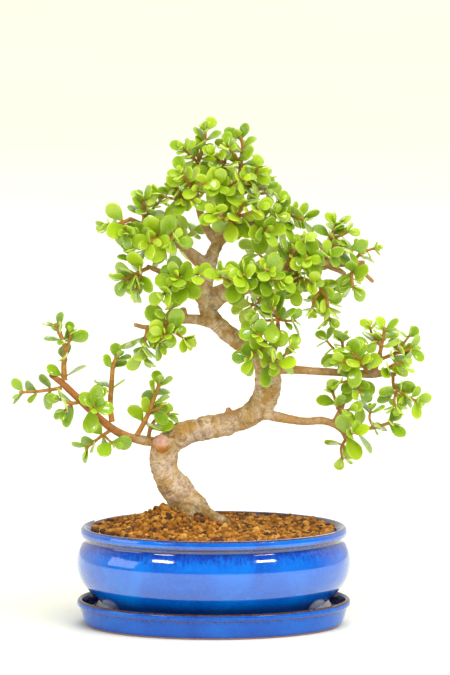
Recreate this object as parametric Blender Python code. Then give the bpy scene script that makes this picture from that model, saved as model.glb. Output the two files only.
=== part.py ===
"""Bonsai tree in a pot: a small succulent tree with a bent trunk, in an oval glazed pot on an oval drip tray.

The origin is the centre of the tray's flat underside. X runs along the pot's long side, -Y is the front, +Z is up.
Sizes are in millimetres and become metres where a mesh is made.
"""

import math
import random

import bmesh
import bpy
from mathutils import Vector
from mathutils.bvhtree import BVHTree

# ---- driving dimensions, mm ----
MM = 0.001
POT_LENGTH = 200.0  # over the belly, along X
POT_BASE_LENGTH = 150.0
POT_NECK_LENGTH = 188.6
POT_LIP_LENGTH = 195.0
POT_DEPTH_RATIO = 0.78  # depth over length, of every oval
POT_HEIGHT = 60.6  # base to lip crest
POT_WALL = 4.6
POT_FLOOR = 5.0
FOOT_HEIGHT = 6.6  # tray floor to the pot's base
FOOT_RADIUS = 6.6
FOOT_OVERHANG = 3.0  # how far past the base's end a foot's centre stands
FOOT_SPACING = 36.0  # between a pair's centres, across the pot
DRAIN_RADIUS = 6.0
DRAIN_SPACING = 72.0
TRAY_INSET = 0.3  # the tray's end inside the belly's end
TRAY_HEIGHT = 19.0
TRAY_FLOOR = 4.8
TRAY_WALL = 4.2
FIT_GAP = 0.35  # between soil and pot, soil and roots, and between shoots
REST_GAP = 0.15  # under the pot's feet
SOIL_DROP = 3.4  # soil edge below the lip crest
SOIL_MOUND = 12.5  # rise of the soil towards the trunk
TREE_SCALE = 1.0  # spread and height of the tree above the soil
FRONT_SPREAD = 1.45  # how much further forward the front of the crown reaches than set out
LEAF_SCALE = 1.08
LEAF_WIDTH = 0.85  # of a leaf's length
LEAF_THICKNESS = 1.7
OVAL_SIDES = 40
FALL = 0.155  # heights below are set out as seen from a little above, so a point drops this share of its depth

# ---- what follows from them ----
POT_BASE_Z = TRAY_FLOOR + FOOT_HEIGHT
CREST_Z = POT_BASE_Z + POT_HEIGHT
FOOT_TOP_Z = POT_BASE_Z + POT_FLOOR - 0.9
TRAY_LENGTH = POT_LENGTH - 2 * TRAY_INSET
SET_OUT_LINE = 80.0  # the height in the tables below where the trunk leaves the soil
SOIL_LINE = CREST_Z + 8.0  # where that is on the real tree

# ---- the tree's woody parts: points (across, depth, height, radius) ----
TRUNK = [
    (0, 3, 56, 5), (-5, 2, 67, 9), (-11, 1, 77, 12.2), (-17.4, 0, 85, 12.2), (-26, -1, 98, 11.2),
    (-32.6, -1, 107, 10.4), (-36, -1, 116, 10.1), (-35.9, -1, 127, 10), (-31.2, -1, 134, 9.6),
    (-20.3, 0, 140.6, 9.4), (-4.7, 1, 144.7, 8.4), (8.3, 1, 147, 8.2), (21, 1, 151, 8.2),
    (31.2, 1, 158, 8.4), (37, 0, 166, 9.4), (39.3, 0, 176, 9.6), (38.5, 0, 186, 9),
    (34.8, 0, 193.4, 8.2), (26.1, 0, 201.5, 7.2), (17.4, 0, 208.1, 6.6), (8, 0, 215.5, 6.2),
    (0.7, 0, 222.8, 6), (-5.1, 0, 231.6, 5.6), (-6.5, 1, 244.8, 5), (-3.6, 2, 259.5, 5),
    (-0.7, 3, 272, 4.8), (4.1, 4, 281, 4.2),
]
LIMBS = {
    "root_right": [(-12, -2, 82, 8), (-2, -6, 78.5, 5.4), (8, -8, 74.5, 3.4), (15, -9, 68, 2)],
    "root_left": [(-22, -1, 88, 8), (-32, -3, 82.5, 5), (-40, -5, 77.5, 3.2), (-45, -6, 71, 2)],
    "root_front": [(-18, -3, 86, 8), (-18, -13, 79, 5), (-16, -21, 73.5, 3.2), (-15, -26, 67, 2)],
    "root_back": [(-13, 4, 84, 8), (-11, 14, 81, 4.6), (-8, 22, 79, 3), (-6, 27, 74, 2)],
    "knob": [(-34, -2, 129, 5), (-37.5, -8, 132.5, 5), (-38.6, -10.6, 133.6, 4.2)],
    "stub_on_trunk": [(12, 1, 148, 4), (11, 0, 155.5, 2.8), (10.6, 0, 158.6, 1.9)],
    "low_left": [
        (-33, -2, 130, 5), (-42, -4, 133.4, 3.9), (-57, -6, 136, 3.2), (-73, -7, 143, 3),
        (-91, -8, 158.5, 2.8), (-109, -8, 176, 2.5), (-118.5, -8, 182.7, 1.7),
    ],
    "low_right": [
        (31, 0, 156, 6), (43, -1, 153, 3.9), (64, -3, 149, 3), (78, -4, 149.5, 2.9),
        (87, -4, 147, 2.7), (93.5, -5, 142, 2.4), (96, -5, 136, 1.8),
    ],
    "low_right_stub": [(87, -4, 147, 2.2), (92, -4, 157, 2.1), (95.6, -4, 167, 1.6)],
    "mid_right": [
        (38, 0, 186, 6), (49, -1, 187.4, 3.7), (69, -3, 186, 3), (85, -4, 185, 2.8),
        (102, -5, 184, 2.9), (116, -6, 183.5, 3.1), (124, -6, 184, 2.2), (132, -6, 183, 1.6),
    ],
    "mid_right_riser": [(115, -6, 183.5, 2.4), (119, -6, 192, 1.9), (121, -6, 198, 1.6)],
    "upper_right": [
        (-5, 0, 230, 5), (9, -3, 241.5, 4.6), (22, -5, 245.5, 4.4), (34, -6, 249, 4),
        (46, -5, 256.5, 3.6), (60, -4, 262, 3), (76, -3, 264, 2.6), (97, -3, 264, 2.2), (109, -3, 265, 1.8),
    ],
    "upper_right_fork": [(66, -4, 263, 2.3), (76, -2, 271, 2), (84, -1, 279, 1.7)],
    "upper_right_cut": [(78, -4, 264, 1.9), (86, -7, 260.5, 1.7), (95.5, -8, 257, 1.4)],
    "upper_right_end": [(99, -3, 264.5, 1.8), (107, -4, 259, 1.7), (115.5, -4, 251, 1.5)],
    "front": [(36, -2, 190, 4), (43, -11, 200, 2.4), (46, -14, 210, 2), (46.5, -15, 220, 1.6)],
    "left": [
        (-3, 2, 262, 4), (-15, 0, 272, 3.2), (-30, -3, 281, 2.9), (-45, -5, 289, 2.3), (-61, -7, 297, 1.7),
    ],
    "left_riser": [(-29, -3, 281, 2.3), (-29, -3, 295, 2), (-24, -3, 307, 1.6)],
    "left_middle": [
        (-5, 0, 234, 4.4), (-14, -3, 243, 3.1), (-24, -6, 251, 2.6), (-36, -9, 257, 2.2), (-48, -11, 262, 1.7),
    ],
    "left_lower": [
        (2, 0, 221, 5), (-9, -3, 223, 3.6), (-21, -5, 223.5, 3.2), (-34, -7, 220, 2.3),
        (-48, -9, 217.5, 1.8), (-57.5, -10, 219.5, 1.6),
    ],
    "left_lower_cut": [(-21, -5, 222, 3), (-22.5, -5, 231, 2.8)],
    "leader_left": [(3, 4, 279, 4), (-6, 3, 292, 3), (-11, 2, 306, 2.5), (-13.5, 0, 322, 2.1), (-13.5, 0, 334, 1.7)],
    "leader_middle": [(3, 4, 279, 4), (8, 4, 299, 2.8), (10, 3, 318, 2.3), (9, 2, 333, 1.7)],
    "leader_right": [(8, 4, 298, 2.5), (16, 3, 308, 2.2), (20, 2, 318, 2), (19, 1, 329, 1.7)],
    "crown_right": [(3, 4, 280, 4), (16, 3, 289, 2.7), (30, 2, 294, 2.3), (42, 1, 298, 1.9)],
    "back_left": [(-4, 2, 252, 4), (-9, 15, 261, 2.6), (-17, 29, 270, 2.1), (-24, 40, 279, 1.7)],
    "back_right": [(-5, 1, 242, 4), (8, 14, 248, 2.8), (23, 27, 256, 2.3), (37, 37, 264, 1.8)],
    "back_low": [(16, 1, 209, 4), (22, 14, 215, 2.6), (27, 27, 223, 2.1), (30, 38, 232, 1.7)],
    "back_crown": [(8, 5, 300, 2.6), (9, 15, 309, 2.1), (5, 25, 318, 1.7)],
}

# ---- leafy shoots: for each, its stem and then any side stems. Each stem has its points (across, depth, height),
# its leaf pairs (how many, or the share of its length where each stands), its leaf length, its turn in degrees,
# and its radius where it starts and ends ----
SHOOTS = {
    "shoot_low_left_riser": [
        (
            [(-108, -8, 175), (-108.6, -8, 190), (-107.5, -8, 202), (-110.5, -8, 211), (-114, -8, 219)],
            (0.13, 0.42, 0.75, 0.87, 0.98), 13.5, 60, 2.1, 1.0,
        ),
        ([(-107.3, -8, 200), (-104.5, -9, 207.5), (-103.5, -10, 213.5)], (0.62, 0.98), 13, 80, 1.4, 0.9),
    ],
    "shoot_low_left_post": [
        (
            [(-73, -7, 143), (-75, -7, 160), (-74, -7, 176), (-73, -7, 189), (-70, -7, 196)],
            (0.57, 0.85, 0.98), 13, 15, 2.1, 1.1,
        ),
    ],
    "shoot_low_left_end": [
        ([(-107, -8, 174), (-118, -9, 172), (-129, -10, 170.5), (-140, -11, 170)], 3, 13.5, 40, 1.4, 1.0),
    ],
    "shoot_low_left_under": [
        ([(-96, -8, 163), (-104, -11, 162), (-112, -13, 165)], 2, 15, 70, 1.3, 0.9),
        ([(-103, -10.6, 162), (-106, -15, 158.5), (-108, -17, 156)], 1, 16, 20, 1.1, 0.8),
    ],
    "shoot_low_left_front": [([(-90, -8, 158), (-88, -15, 158.5), (-86, -19, 159)], 2, 16, 30, 1.3, 0.9)],
    "shoot_low_left_upper": [([(-83, -7.5, 152), (-84, -9, 160), (-82, -10, 168)], 2, 14, 60, 1.3, 0.9)],
    "shoot_low_left_hanging": [
        ([(-74, -7, 143), (-84, -9, 136), (-93, -10, 128.5)], 3, 13.5, 30, 1.3, 0.9),
        ([(-80, -8.2, 138.8), (-76, -12, 135), (-73, -14, 132)], 1, 14, 0, 1.1, 0.8),
    ],
    "shoot_low_left_inner": [
        ([(-57, -6, 136), (-50, -7, 149), (-46, -7, 158), (-42.5, -6, 168), (-39, -6, 177)], 5, 14, 20, 1.9, 1.0),
        ([(-47, -7, 156), (-40, -10, 158), (-35, -12, 162)], 2, 13.5, 60, 1.2, 0.8),
    ],
    "shoot_low_left_inner_short": [
        ([(-48, -5, 134), (-45.5, -4, 145), (-40, -3, 152), (-33, -2, 155)], 3, 13.5, 60, 1.5, 0.9),
        ([(-47, -4.7, 138.5), (-51, -10, 137), (-53, -14, 136)], 1, 14, 15, 1.2, 0.8),
    ],
    "shoot_low_right_twig": [
        ([(91, -4, 155), (89, -6, 162), (86, -7, 171)], 2, 13, 20, 1.3, 0.8),
        ([(89.6, -5.4, 160), (94, -11, 157), (98, -15, 157)], 2, 13.5, 70, 1.1, 0.8),
    ],
    "shoot_low_right_end": [
        ([(94, -5, 141), (105, -7, 142.5), (117, -8, 144.5), (129, -9, 148)], 3, 15.5, 35, 1.6, 1.2),
        ([(116, -8, 144.4), (113, -9, 151), (114, -9, 157)], 1, 12.5, 10, 1.1, 0.8),
    ],
    "shoot_low_right_front": [([(95.5, -5, 138), (98, -12, 139), (101, -16, 140)], 2, 17, 60, 1.3, 0.9)],
    "shoot_low_right_hanging": [([(96, -5, 136), (92.5, -6, 129), (93.5, -7, 121)], 2, 13, 20, 1.2, 0.8)],
    "shoot_mid_right_top": [
        ([(120, -6, 196), (122, -6, 206), (124, -6, 217)], 3, 14.5, 25, 1.5, 0.9),
        ([(121.6, -6, 204), (115, -8, 212), (113, -9, 218)], 2, 13, 60, 1.2, 0.8),
    ],
    "shoot_mid_right_tip": [
        ([(120, -6, 194), (131, -9, 198), (144, -11, 202)], 3, 13.5, 50, 1.4, 0.9),
        ([(130, -8.6, 197.5), (137, -9, 205), (142, -9, 212)], 2, 12.5, 20, 1.1, 0.8),
    ],
    "shoot_mid_right_front": [
        ([(112, -6, 184), (106, -13, 193), (100, -16, 199)], 3, 16.5, 30, 1.4, 0.9),
        ([(107.5, -11.4, 191), (98, -15, 191), (91, -17, 192)], 2, 15.5, 70, 1.2, 0.8),
    ],
    "shoot_mid_right_inner": [
        ([(101, -5, 184), (95, -3, 196), (93, -3, 209)], 3, 14, 0, 1.4, 0.9),
        ([(95.5, -3.2, 195), (87, -5, 202), (81, -6, 209)], 2, 14, 45, 1.2, 0.8),
    ],
    "shoot_mid_right_outer": [([(122, -6, 184), (130, -11, 190), (137, -13, 192)], 2, 15.5, 80, 1.3, 0.9)],
    "shoot_mid_right_hanging": [
        ([(130, -6, 183), (131, -7, 174), (139, -9, 168), (148, -10, 163)], 3, 14.5, 55, 1.2, 0.9),
        ([(133, -7.4, 172.5), (131, -10, 165), (132, -11, 159)], 2, 14, 10, 1.1, 0.8),
    ],
    "shoot_mid_right_below": [
        ([(103, -5, 184), (104, -9, 176), (106, -11, 170)], 3, 13, 15, 1.2, 0.8),
        ([(103.5, -7, 180), (96, -11, 178), (91, -13, 177)], 2, 13.5, 50, 1.1, 0.8),
    ],
    "shoot_upper_right_tip": [([(100, -3, 264), (107, -2, 272), (118, -2, 276)], 2, 9.5, 40, 1.2, 0.7)],
    "shoot_upper_right_end": [([(102, -3, 263), (100, -9, 255), (101, -11, 246)], 2, 15.5, 10, 1.3, 0.9)],
    "shoot_upper_right_top": [
        ([(83, -1, 278), (86, -2, 286), (89, -2, 294)], 3, 14, 60, 1.4, 0.9),
        ([(84.8, -1.6, 283), (93, -4, 285), (98, -5, 288)], 2, 14, 20, 1.2, 0.8),
    ],
    "shoot_upper_right_shoulder": [([(80, -1.5, 275), (91, -5, 277), (100, -7, 273)], 3, 15.5, 30, 1.3, 0.9)],
    "shoot_upper_right_front": [
        ([(70, -3, 263.5), (69, -11, 266), (67, -17, 269)], 3, 14.5, 75, 1.4, 0.9),
        ([(69.2, -9.5, 265.4), (77, -15, 268), (83, -18, 270)], 2, 15, 30, 1.2, 0.8),
    ],
    "shoot_upper_right_hanging": [
        ([(72, -3, 263), (76, -8, 249), (82, -10, 237), (83, -10, 223)], 5, 14, 20, 1.5, 0.9),
        ([(78, -8.8, 245), (73, -12, 238), (71, -13, 230)], 2, 14.5, 60, 1.1, 0.8),
    ],
    "shoot_upper_right_below": [
        ([(59, -4, 262), (60, -9, 253), (57, -11, 244)], 3, 15.5, 50, 1.4, 0.9),
        ([(60, -8, 255), (67, -14, 251), (72, -17, 249)], 2, 15, 0, 1.2, 0.8),
    ],
    "shoot_upper_right_middle": [
        ([(52, -5, 259), (55, -8, 269), (58, -9, 279)], 3, 14.5, 10, 1.4, 0.9),
        ([(54.5, -7.6, 267.4), (61, -12, 275), (66, -14, 281)], 2, 14.5, 50, 1.2, 0.8),
    ],
    "shoot_upper_right_back": [
        ([(80, -3, 264), (84, 9, 269), (88, 19, 275)], 3, 15, 30, 1.4, 0.9),
        ([(83, 6, 267.6), (76, 15, 272), (71, 21, 277)], 2, 14.5, 70, 1.2, 0.8),
    ],
    "shoot_upper_right_inner": [
        ([(34, -6, 249), (36, -16, 255), (39, -23, 259)], 3, 16.5, 40, 1.4, 0.9),
        ([(36, -15, 254.4), (44, -20, 252), (49, -23, 251)], 2, 15.5, 10, 1.2, 0.8),
    ],
    "shoot_crown_right_end": [
        ([(41, 1, 297.5), (54, -1, 300), (66, -3, 296)], 3, 15.5, 40, 1.5, 0.9),
        ([(46, 0.4, 298.6), (45, -2, 305), (47, -3, 311)], 2, 14, 20, 1.2, 0.8),
    ],
    "shoot_crown_right_front": [
        ([(26, 2, 293), (33, -7, 290), (38, -15, 288)], 3, 16.5, 70, 1.5, 0.9),
        ([(31, -4.4, 290.8), (40, -9, 296), (46, -12, 299)], 2, 15, 20, 1.2, 0.8),
    ],
    "shoot_crown_left": [
        ([(-13.5, 0, 333), (-9, -1, 345), (-6.5, -1, 355), (-6, -1, 363)], 4, 13.5, 30, 1.6, 0.8),
        ([(-11.5, -0.4, 338.4), (-17, -4, 343), (-22, -7, 348)], 2, 14.5, 80, 1.2, 0.8),
    ],
    "shoot_crown_right_tip": [
        ([(19, 1, 328), (20, 0, 341), (21, 0, 351), (19, 0, 357)], 3, 14.5, 45, 1.6, 0.9),
        ([(20, 0.3, 338), (14, -5, 344), (10, -8, 350)], 2, 14.5, 10, 1.2, 0.8),
    ],
    "shoot_crown_middle": [
        ([(9, 2, 332), (5, -4, 338), (1, -9, 343)], 3, 15, 20, 1.4, 0.9),
        ([(7, -1, 335), (9, 6, 343), (8, 10, 350)], 2, 14, 60, 1.2, 0.8),
    ],
    "shoot_crown_left_front": [
        ([(-12.5, 1, 316), (-18, -8, 322), (-23, -13, 330)], 3, 16, 60, 1.4, 0.9),
        ([(-16, -5, 320), (-10, -13, 321), (-6, -18, 322)], 2, 15, 20, 1.2, 0.8),
    ],
    "shoot_crown_right_front_tip": [
        ([(20, 2, 318), (28, -5, 325), (32, -8, 334)], 3, 13.5, 10, 1.4, 0.9),
        ([(25, -2.4, 322), (33, -6, 319), (39, -8, 318)], 2, 14.5, 50, 1.2, 0.8),
    ],
    "shoot_crown_right_back": [
        ([(19.5, 2, 315), (30, 6, 320), (40, 6, 328)], 3, 11, 50, 1.3, 0.8),
        ([(27, 5, 318.6), (34, 13, 316), (39, 18, 317)], 2, 14.5, 10, 1.2, 0.8),
    ],
    "shoot_crown_front": [
        ([(10, 3, 316), (7, -8, 318), (4, -16, 321)], 3, 16, 50, 1.4, 0.9),
        ([(8, -4.6, 317.4), (15, -12, 323), (20, -16, 326)], 2, 15, 0, 1.2, 0.8),
    ],
    "shoot_crown_low_front": [
        ([(12, 3.5, 287), (17, -8, 298), (22, -14, 309)], 3, 15.5, 30, 1.5, 0.9),
        ([(15, -3.4, 294), (7, -13, 297), (2, -19, 300)], 2, 16, 70, 1.2, 0.8),
        ([(17, -8, 298), (26, -15, 301), (32, -19, 304)], 2, 15, 40, 1.2, 0.8),
    ],
    "shoot_crown_back": [
        ([(5, 25, 317), (1, 32, 325), (-1, 37, 334)], 3, 15, 10, 1.4, 0.9),
        ([(3, 28.6, 321), (12, 35, 322), (18, 39, 326)], 2, 15, 60, 1.2, 0.8),
        ([(3, 28.6, 321), (-7, 30, 318), (-14, 32, 319)], 2, 15, 20, 1.2, 0.8),
    ],
    "shoot_left_tip": [
        ([(-60, -7, 296.5), (-69, -8, 293), (-77, -9, 291)], 2, 15, 50, 1.4, 0.9),
        ([(-66, -7.7, 294), (-63, -12, 289), (-62, -16, 285)], 2, 15, 10, 1.2, 0.8),
    ],
    "shoot_left_top": [
        ([(-51, -6, 292), (-50, -6, 302), (-51, -6, 312)], 3, 14.5, 20, 1.5, 0.9),
        ([(-50.4, -6, 298), (-43, -8, 305), (-38, -9, 310)], 2, 15, 70, 1.2, 0.8),
    ],
    "shoot_left_front": [
        ([(-38, -4, 285.5), (-42, -13, 282), (-46, -20, 279)], 3, 16.5, 65, 1.5, 0.9),
        ([(-41, -11, 282.8), (-33, -19, 281), (-27, -24, 280)], 2, 16, 20, 1.2, 0.8),
    ],
    "shoot_left_riser_tip": [
        ([(-24, -3, 306), (-23, -4, 314), (-29, -5, 321)], 3, 14, 40, 1.4, 0.9),
        ([(-23.4, -3.6, 311), (-19, -11, 311), (-15, -16, 309)], 2, 15, 10, 1.2, 0.8),
        ([(-23.4, -3.6, 311), (-33, -8, 312), (-40, -10, 315)], 2, 14.5, 50, 1.2, 0.8),
    ],
    "shoot_left_middle_end": [
        ([(-46, -10.5, 261.5), (-55, -14, 257), (-65, -16, 252)], 3, 16, 30, 1.5, 0.9),
        ([(-52, -13, 258.8), (-55, -15, 250), (-56, -16, 243)], 2, 15, 70, 1.2, 0.8),
        ([(-52, -13, 258.8), (-57, -13, 265), (-60, -13, 272)], 2, 14.5, 40, 1.2, 0.8),
    ],
    "shoot_left_middle_front": [
        ([(-24, -6, 251), (-25, -14, 252), (-27, -21, 254)], 3, 16, 75, 1.5, 0.9),
        ([(-24.6, -11, 251.5), (-32, -17, 246), (-36, -20, 241)], 2, 15.5, 30, 1.2, 0.8),
        ([(-24.6, -11, 251.5), (-16, -17, 253), (-11, -21, 256)], 2, 15.5, 50, 1.2, 0.8),
    ],
    "shoot_left_lower_hanging": [
        ([(-48, -9, 217.5), (-50, -10, 206), (-51, -10, 195)], 3, 16, 25, 1.3, 0.9),
        ([(-49, -9.5, 212), (-43, -13, 207), (-39, -15, 205)], 1, 14, 60, 1.1, 0.8),
    ],
    "shoot_left_lower_front": [
        ([(-33, -7, 220), (-35, -14, 214), (-37, -19, 210)], 3, 14.5, 0, 1.4, 0.9),
        ([(-34, -11, 216.6), (-26, -17, 212), (-20, -19, 208)], 2, 14.5, 50, 1.2, 0.8),
        ([(-34, -11, 216.6), (-33, -14, 225), (-31, -16, 232)], 2, 15, 20, 1.2, 0.8),
    ],
    "shoot_front_high": [
        ([(20, -5, 245), (21, -16, 251), (22, -25, 255)], 3, 17.5, 40, 1.5, 1.0),
        ([(20.8, -14, 250), (11, -21, 251), (4, -25, 254)], 2, 16.5, 70, 1.2, 0.8),
    ],
    "shoot_front_middle": [
        ([(46.5, -15, 219), (46, -17, 226), (41, -20, 232)], 2, 15.5, 20, 1.3, 0.9),
        ([(46.2, -16.2, 223), (53, -18, 222), (59, -19, 222)], 1, 10.5, 60, 1.1, 0.8),
        ([(46.2, -16.2, 223), (38, -19, 222), (31, -22, 222)], 2, 16, 60, 1.1, 0.8),
    ],
    "shoot_front_inner": [
        ([(43, -11, 200), (37, -19, 206), (32, -25, 212)], 3, 16.5, 50, 1.4, 0.9),
        ([(38.5, -17, 204.6), (31, -21, 199), (25, -23, 194)], 2, 16, 10, 1.2, 0.8),
    ],
    "shoot_front_low": [
        ([(37, -6, 190), (42, -16, 191), (46, -24, 192)], 2, 17.5, 30, 1.5, 1.0),
        ([(41, -14, 190.8), (50, -18, 196), (56, -21, 202)], 2, 15, 60, 1.2, 0.8),
    ],
    "shoot_back_left": [
        ([(-24, 40, 278), (-32, 46, 285), (-38, 50, 292)], 3, 15.5, 30, 1.4, 0.9),
        ([(-28, 43, 281.4), (-20, 49, 286), (-15, 53, 291)], 2, 15, 60, 1.2, 0.8),
        ([(-28, 43, 281.4), (-35, 47, 277), (-41, 50, 273)], 2, 15, 0, 1.2, 0.8),
    ],
    "shoot_back_right": [
        ([(37, 37, 263.5), (45, 43, 269), (52, 47, 277)], 3, 15.5, 60, 1.4, 0.9),
        ([(41, 40, 266.2), (34, 46, 272), (30, 51, 279)], 2, 15, 10, 1.2, 0.8),
        ([(41, 40, 266.2), (47, 46, 262), (52, 51, 259)], 2, 15, 30, 1.2, 0.8),
    ],
    "shoot_back_low": [
        ([(30, 38, 231.5), (33, 46, 238), (35, 52, 245)], 3, 15.5, 20, 1.4, 0.9),
        ([(31.6, 42, 235), (24, 48, 237), (18, 52, 241)], 2, 15, 60, 1.2, 0.8),
    ],
}
THIN_STEM = 1.35  # stems thinner than this are drawn with four sides, the others with six

# colour (linear), roughness, metallic, coat
LOOKS = {
    "blue_glaze": ((0.004, 0.075, 0.52), 0.16, 0.0, 0.6),
    "granular_soil": ((0.28, 0.115, 0.03), 0.92, 0.0, 0.0),
    "bark": ((0.46, 0.31, 0.17), 0.82, 0.0, 0.0),
    "leaf": ((0.26, 0.48, 0.03), 0.34, 0.0, 0.2),
}


def clear_scene():
    for obj in list(bpy.data.objects):
        bpy.data.objects.remove(obj, do_unlink=True)


def material(name):
    colour, roughness, metallic, coat = LOOKS[name]
    made = bpy.data.materials.new(name)
    made.use_nodes = True
    made.diffuse_color = (*colour, 1.0)
    shader = made.node_tree.nodes["Principled BSDF"]
    shader.inputs["Base Color"].default_value = (*colour, 1.0)
    shader.inputs["Roughness"].default_value = roughness
    shader.inputs["Metallic"].default_value = metallic
    shader.inputs["Coat Weight"].default_value = coat
    return made


def collection(name):
    made = bpy.data.collections.new(name)
    bpy.context.scene.collection.children.link(made)
    return made


def mesh_object(name, points, faces, home, look=None, smooth_faces=True):
    """An object from points in millimetres, with every face turned outwards."""
    mesh = bpy.data.meshes.new(name)
    mesh.from_pydata([Vector(p) * MM for p in points], [], faces)
    shape = bmesh.new()
    shape.from_mesh(mesh)
    bmesh.ops.recalc_face_normals(shape, faces=shape.faces)
    shape.to_mesh(mesh)
    shape.free()
    for face in mesh.polygons:
        face.use_smooth = smooth_faces
    obj = bpy.data.objects.new(name, mesh)
    home.objects.link(obj)
    if look:
        mesh.materials.append(look)
    return obj


def apply_boolean(obj, operation, other):
    """Joins or cuts obj by an object or a collection, and keeps the result as its mesh."""
    step = obj.modifiers.new(operation, "BOOLEAN")
    step.operation = operation
    step.solver = "EXACT"
    if isinstance(other, bpy.types.Collection):
        step.operand_type = "COLLECTION"
        step.collection = other
    else:
        step.object = other
    bpy.context.view_layer.update()
    result = bpy.data.meshes.new_from_object(obj.evaluated_get(bpy.context.evaluated_depsgraph_get()))
    obj.modifiers.clear()
    obj.data = result


# ---- ovals: the pot, the tray and the soil ----
def oval_ring(half_length, z, sides=OVAL_SIDES):
    turn = 2 * math.pi / sides
    return [
        (half_length * math.cos(i * turn), half_length * POT_DEPTH_RATIO * math.sin(i * turn), z)
        for i in range(sides)
    ]


def oval_solid(name, profile, home, look=None):
    """A closed solid of stacked ovals. The profile starts and ends on the axis, where each end becomes one point."""
    points = [(0, 0, profile[0][1])]
    for half_length, z in profile[1:-1]:
        points += oval_ring(half_length, z)
    points.append((0, 0, profile[-1][1]))
    n = OVAL_SIDES
    last = len(points) - 1
    rings = len(profile) - 2
    faces = [(0, 1 + (i + 1) % n, 1 + i) for i in range(n)]
    for ring in range(rings - 1):
        a = 1 + ring * n
        for i in range(n):
            j = (i + 1) % n
            faces.append((a + i, a + j, a + n + j, a + n + i))
    a = 1 + (rings - 1) * n
    faces += [(a + i, a + (i + 1) % n, last) for i in range(n)]
    return mesh_object(name, points, faces, home, look)


def tray_profile():
    half = TRAY_LENGTH / 2
    top = TRAY_HEIGHT
    inner = half - TRAY_WALL
    return [
        (0, 0), (half - 7.6, 0), (half - 5.6, 2.2), (half - 2.6, top - 7.6), (half - 1.6, top - 5.4),
        (half - 0.3, top - 4.2), (half, top - 2.2), (half - 0.9, top - 0.5), (half - 2.2, top),
        (half - 3.5, top - 0.6), (inner, top - 2.6), (inner - 2.2, TRAY_FLOOR + 3), (inner - 5.5, TRAY_FLOOR),
        (0, TRAY_FLOOR),
    ]


def pot_outside():
    """Half-length and height up the outside of the pot, from its base to the top of its rolled lip."""
    base, belly = POT_BASE_LENGTH / 2, POT_LENGTH / 2
    neck, lip = POT_NECK_LENGTH / 2, POT_LIP_LENGTH / 2
    rows = []
    for swell, rise in ((0, 0), (0.18, 0.055), (0.38, 0.13), (0.624, 0.235), (0.8, 0.335), (0.936, 0.46), (1, 0.6)):
        rows.append((base + (belly - base) * swell, POT_BASE_Z + rise * POT_HEIGHT))
    for waist, rise in ((0.14, 0.7), (0.6, 0.79), (1, 0.845)):
        rows.append((belly + (neck - belly) * waist, POT_BASE_Z + rise * POT_HEIGHT))
    rows += [(neck + 0.3, CREST_Z - 7.6), (lip - 0.9, CREST_Z - 6.4), (lip, CREST_Z - 4.2)]
    rows += [(lip - 0.6, CREST_Z - 1.7), (lip - 2.5, CREST_Z)]
    return rows


def pot_inside():
    """The same down the inside, from the lip to the floor."""
    base, belly, neck = POT_BASE_LENGTH / 2 - POT_WALL, POT_LENGTH / 2 - POT_WALL, POT_NECK_LENGTH / 2 - POT_WALL
    rows = [(neck + 3.3, CREST_Z - 0.9), (neck + 1.5, CREST_Z - 3.6)]
    for waist, rise in ((1, 0.84), (0.2, 0.7)):
        rows.append((belly + (neck - belly) * waist, POT_BASE_Z + rise * POT_HEIGHT))
    for swell, rise in ((0.99, 0.6), (0.9, 0.44), (0.63, 0.26)):
        rows.append((base + (belly - base) * swell, POT_BASE_Z + rise * POT_HEIGHT))
    rows.append((base + 5, POT_BASE_Z + POT_FLOOR))
    return rows


def pot_profile():
    return [(0, POT_BASE_Z), *pot_outside(), *pot_inside(), (0, POT_BASE_Z + POT_FLOOR)]


def cylinder(name, x, y, radius, low, high, home, sides=20, top_radius=None):
    top_radius = radius if top_radius is None else top_radius
    turn = 2 * math.pi / sides
    points = []
    for r, z in ((radius, low), (top_radius, high)):
        angles = [(i + 0.37) * turn for i in range(sides)]
        points += [(x + r * math.cos(a), y + r * math.sin(a), z) for a in angles]
    faces = [tuple(range(sides)), tuple(range(sides, 2 * sides))]
    faces += [(i, (i + 1) % sides, sides + (i + 1) % sides, sides + i) for i in range(sides)]
    return mesh_object(name, points, faces, home)


def make_tray(home, look):
    return oval_solid("drip_tray", tray_profile(), home, look)


def make_pot(home, cutters, look):
    pot = oval_solid("pot", pot_profile(), home, look)
    for side in (-1, 1):
        for front in (-0.5, 0.5):
            foot = cylinder(
                "foot_cutter", side * (POT_BASE_LENGTH / 2 + FOOT_OVERHANG), front * FOOT_SPACING, FOOT_RADIUS * 0.92,
                TRAY_FLOOR + REST_GAP, FOOT_TOP_Z, cutters, 16, FOOT_RADIUS,
            )
            apply_boolean(pot, "UNION", foot)
            foot.hide_render = True
        hole = cylinder(
            "drain_cutter", side * DRAIN_SPACING / 2, 0, DRAIN_RADIUS,
            POT_BASE_Z - 4, POT_BASE_Z + POT_FLOOR + 4, cutters, 16,
        )
        apply_boolean(pot, "DIFFERENCE", hole)
        hole.hide_render = True
    return pot


def soil_height(x, y):
    """Level near the lip, rising towards the trunk, with small lumps."""
    level = CREST_Z - SOIL_DROP
    mound = SOIL_MOUND * math.exp(-(((x + 24) / 38) ** 2) - ((y - 2) / 34) ** 2)
    lumps = 0.5 * math.sin(x * 0.31 + 1.0) * math.cos(y * 0.37) + 0.35 * math.sin(x * 0.17 - y * 0.23)
    return level + mound + lumps


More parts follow.
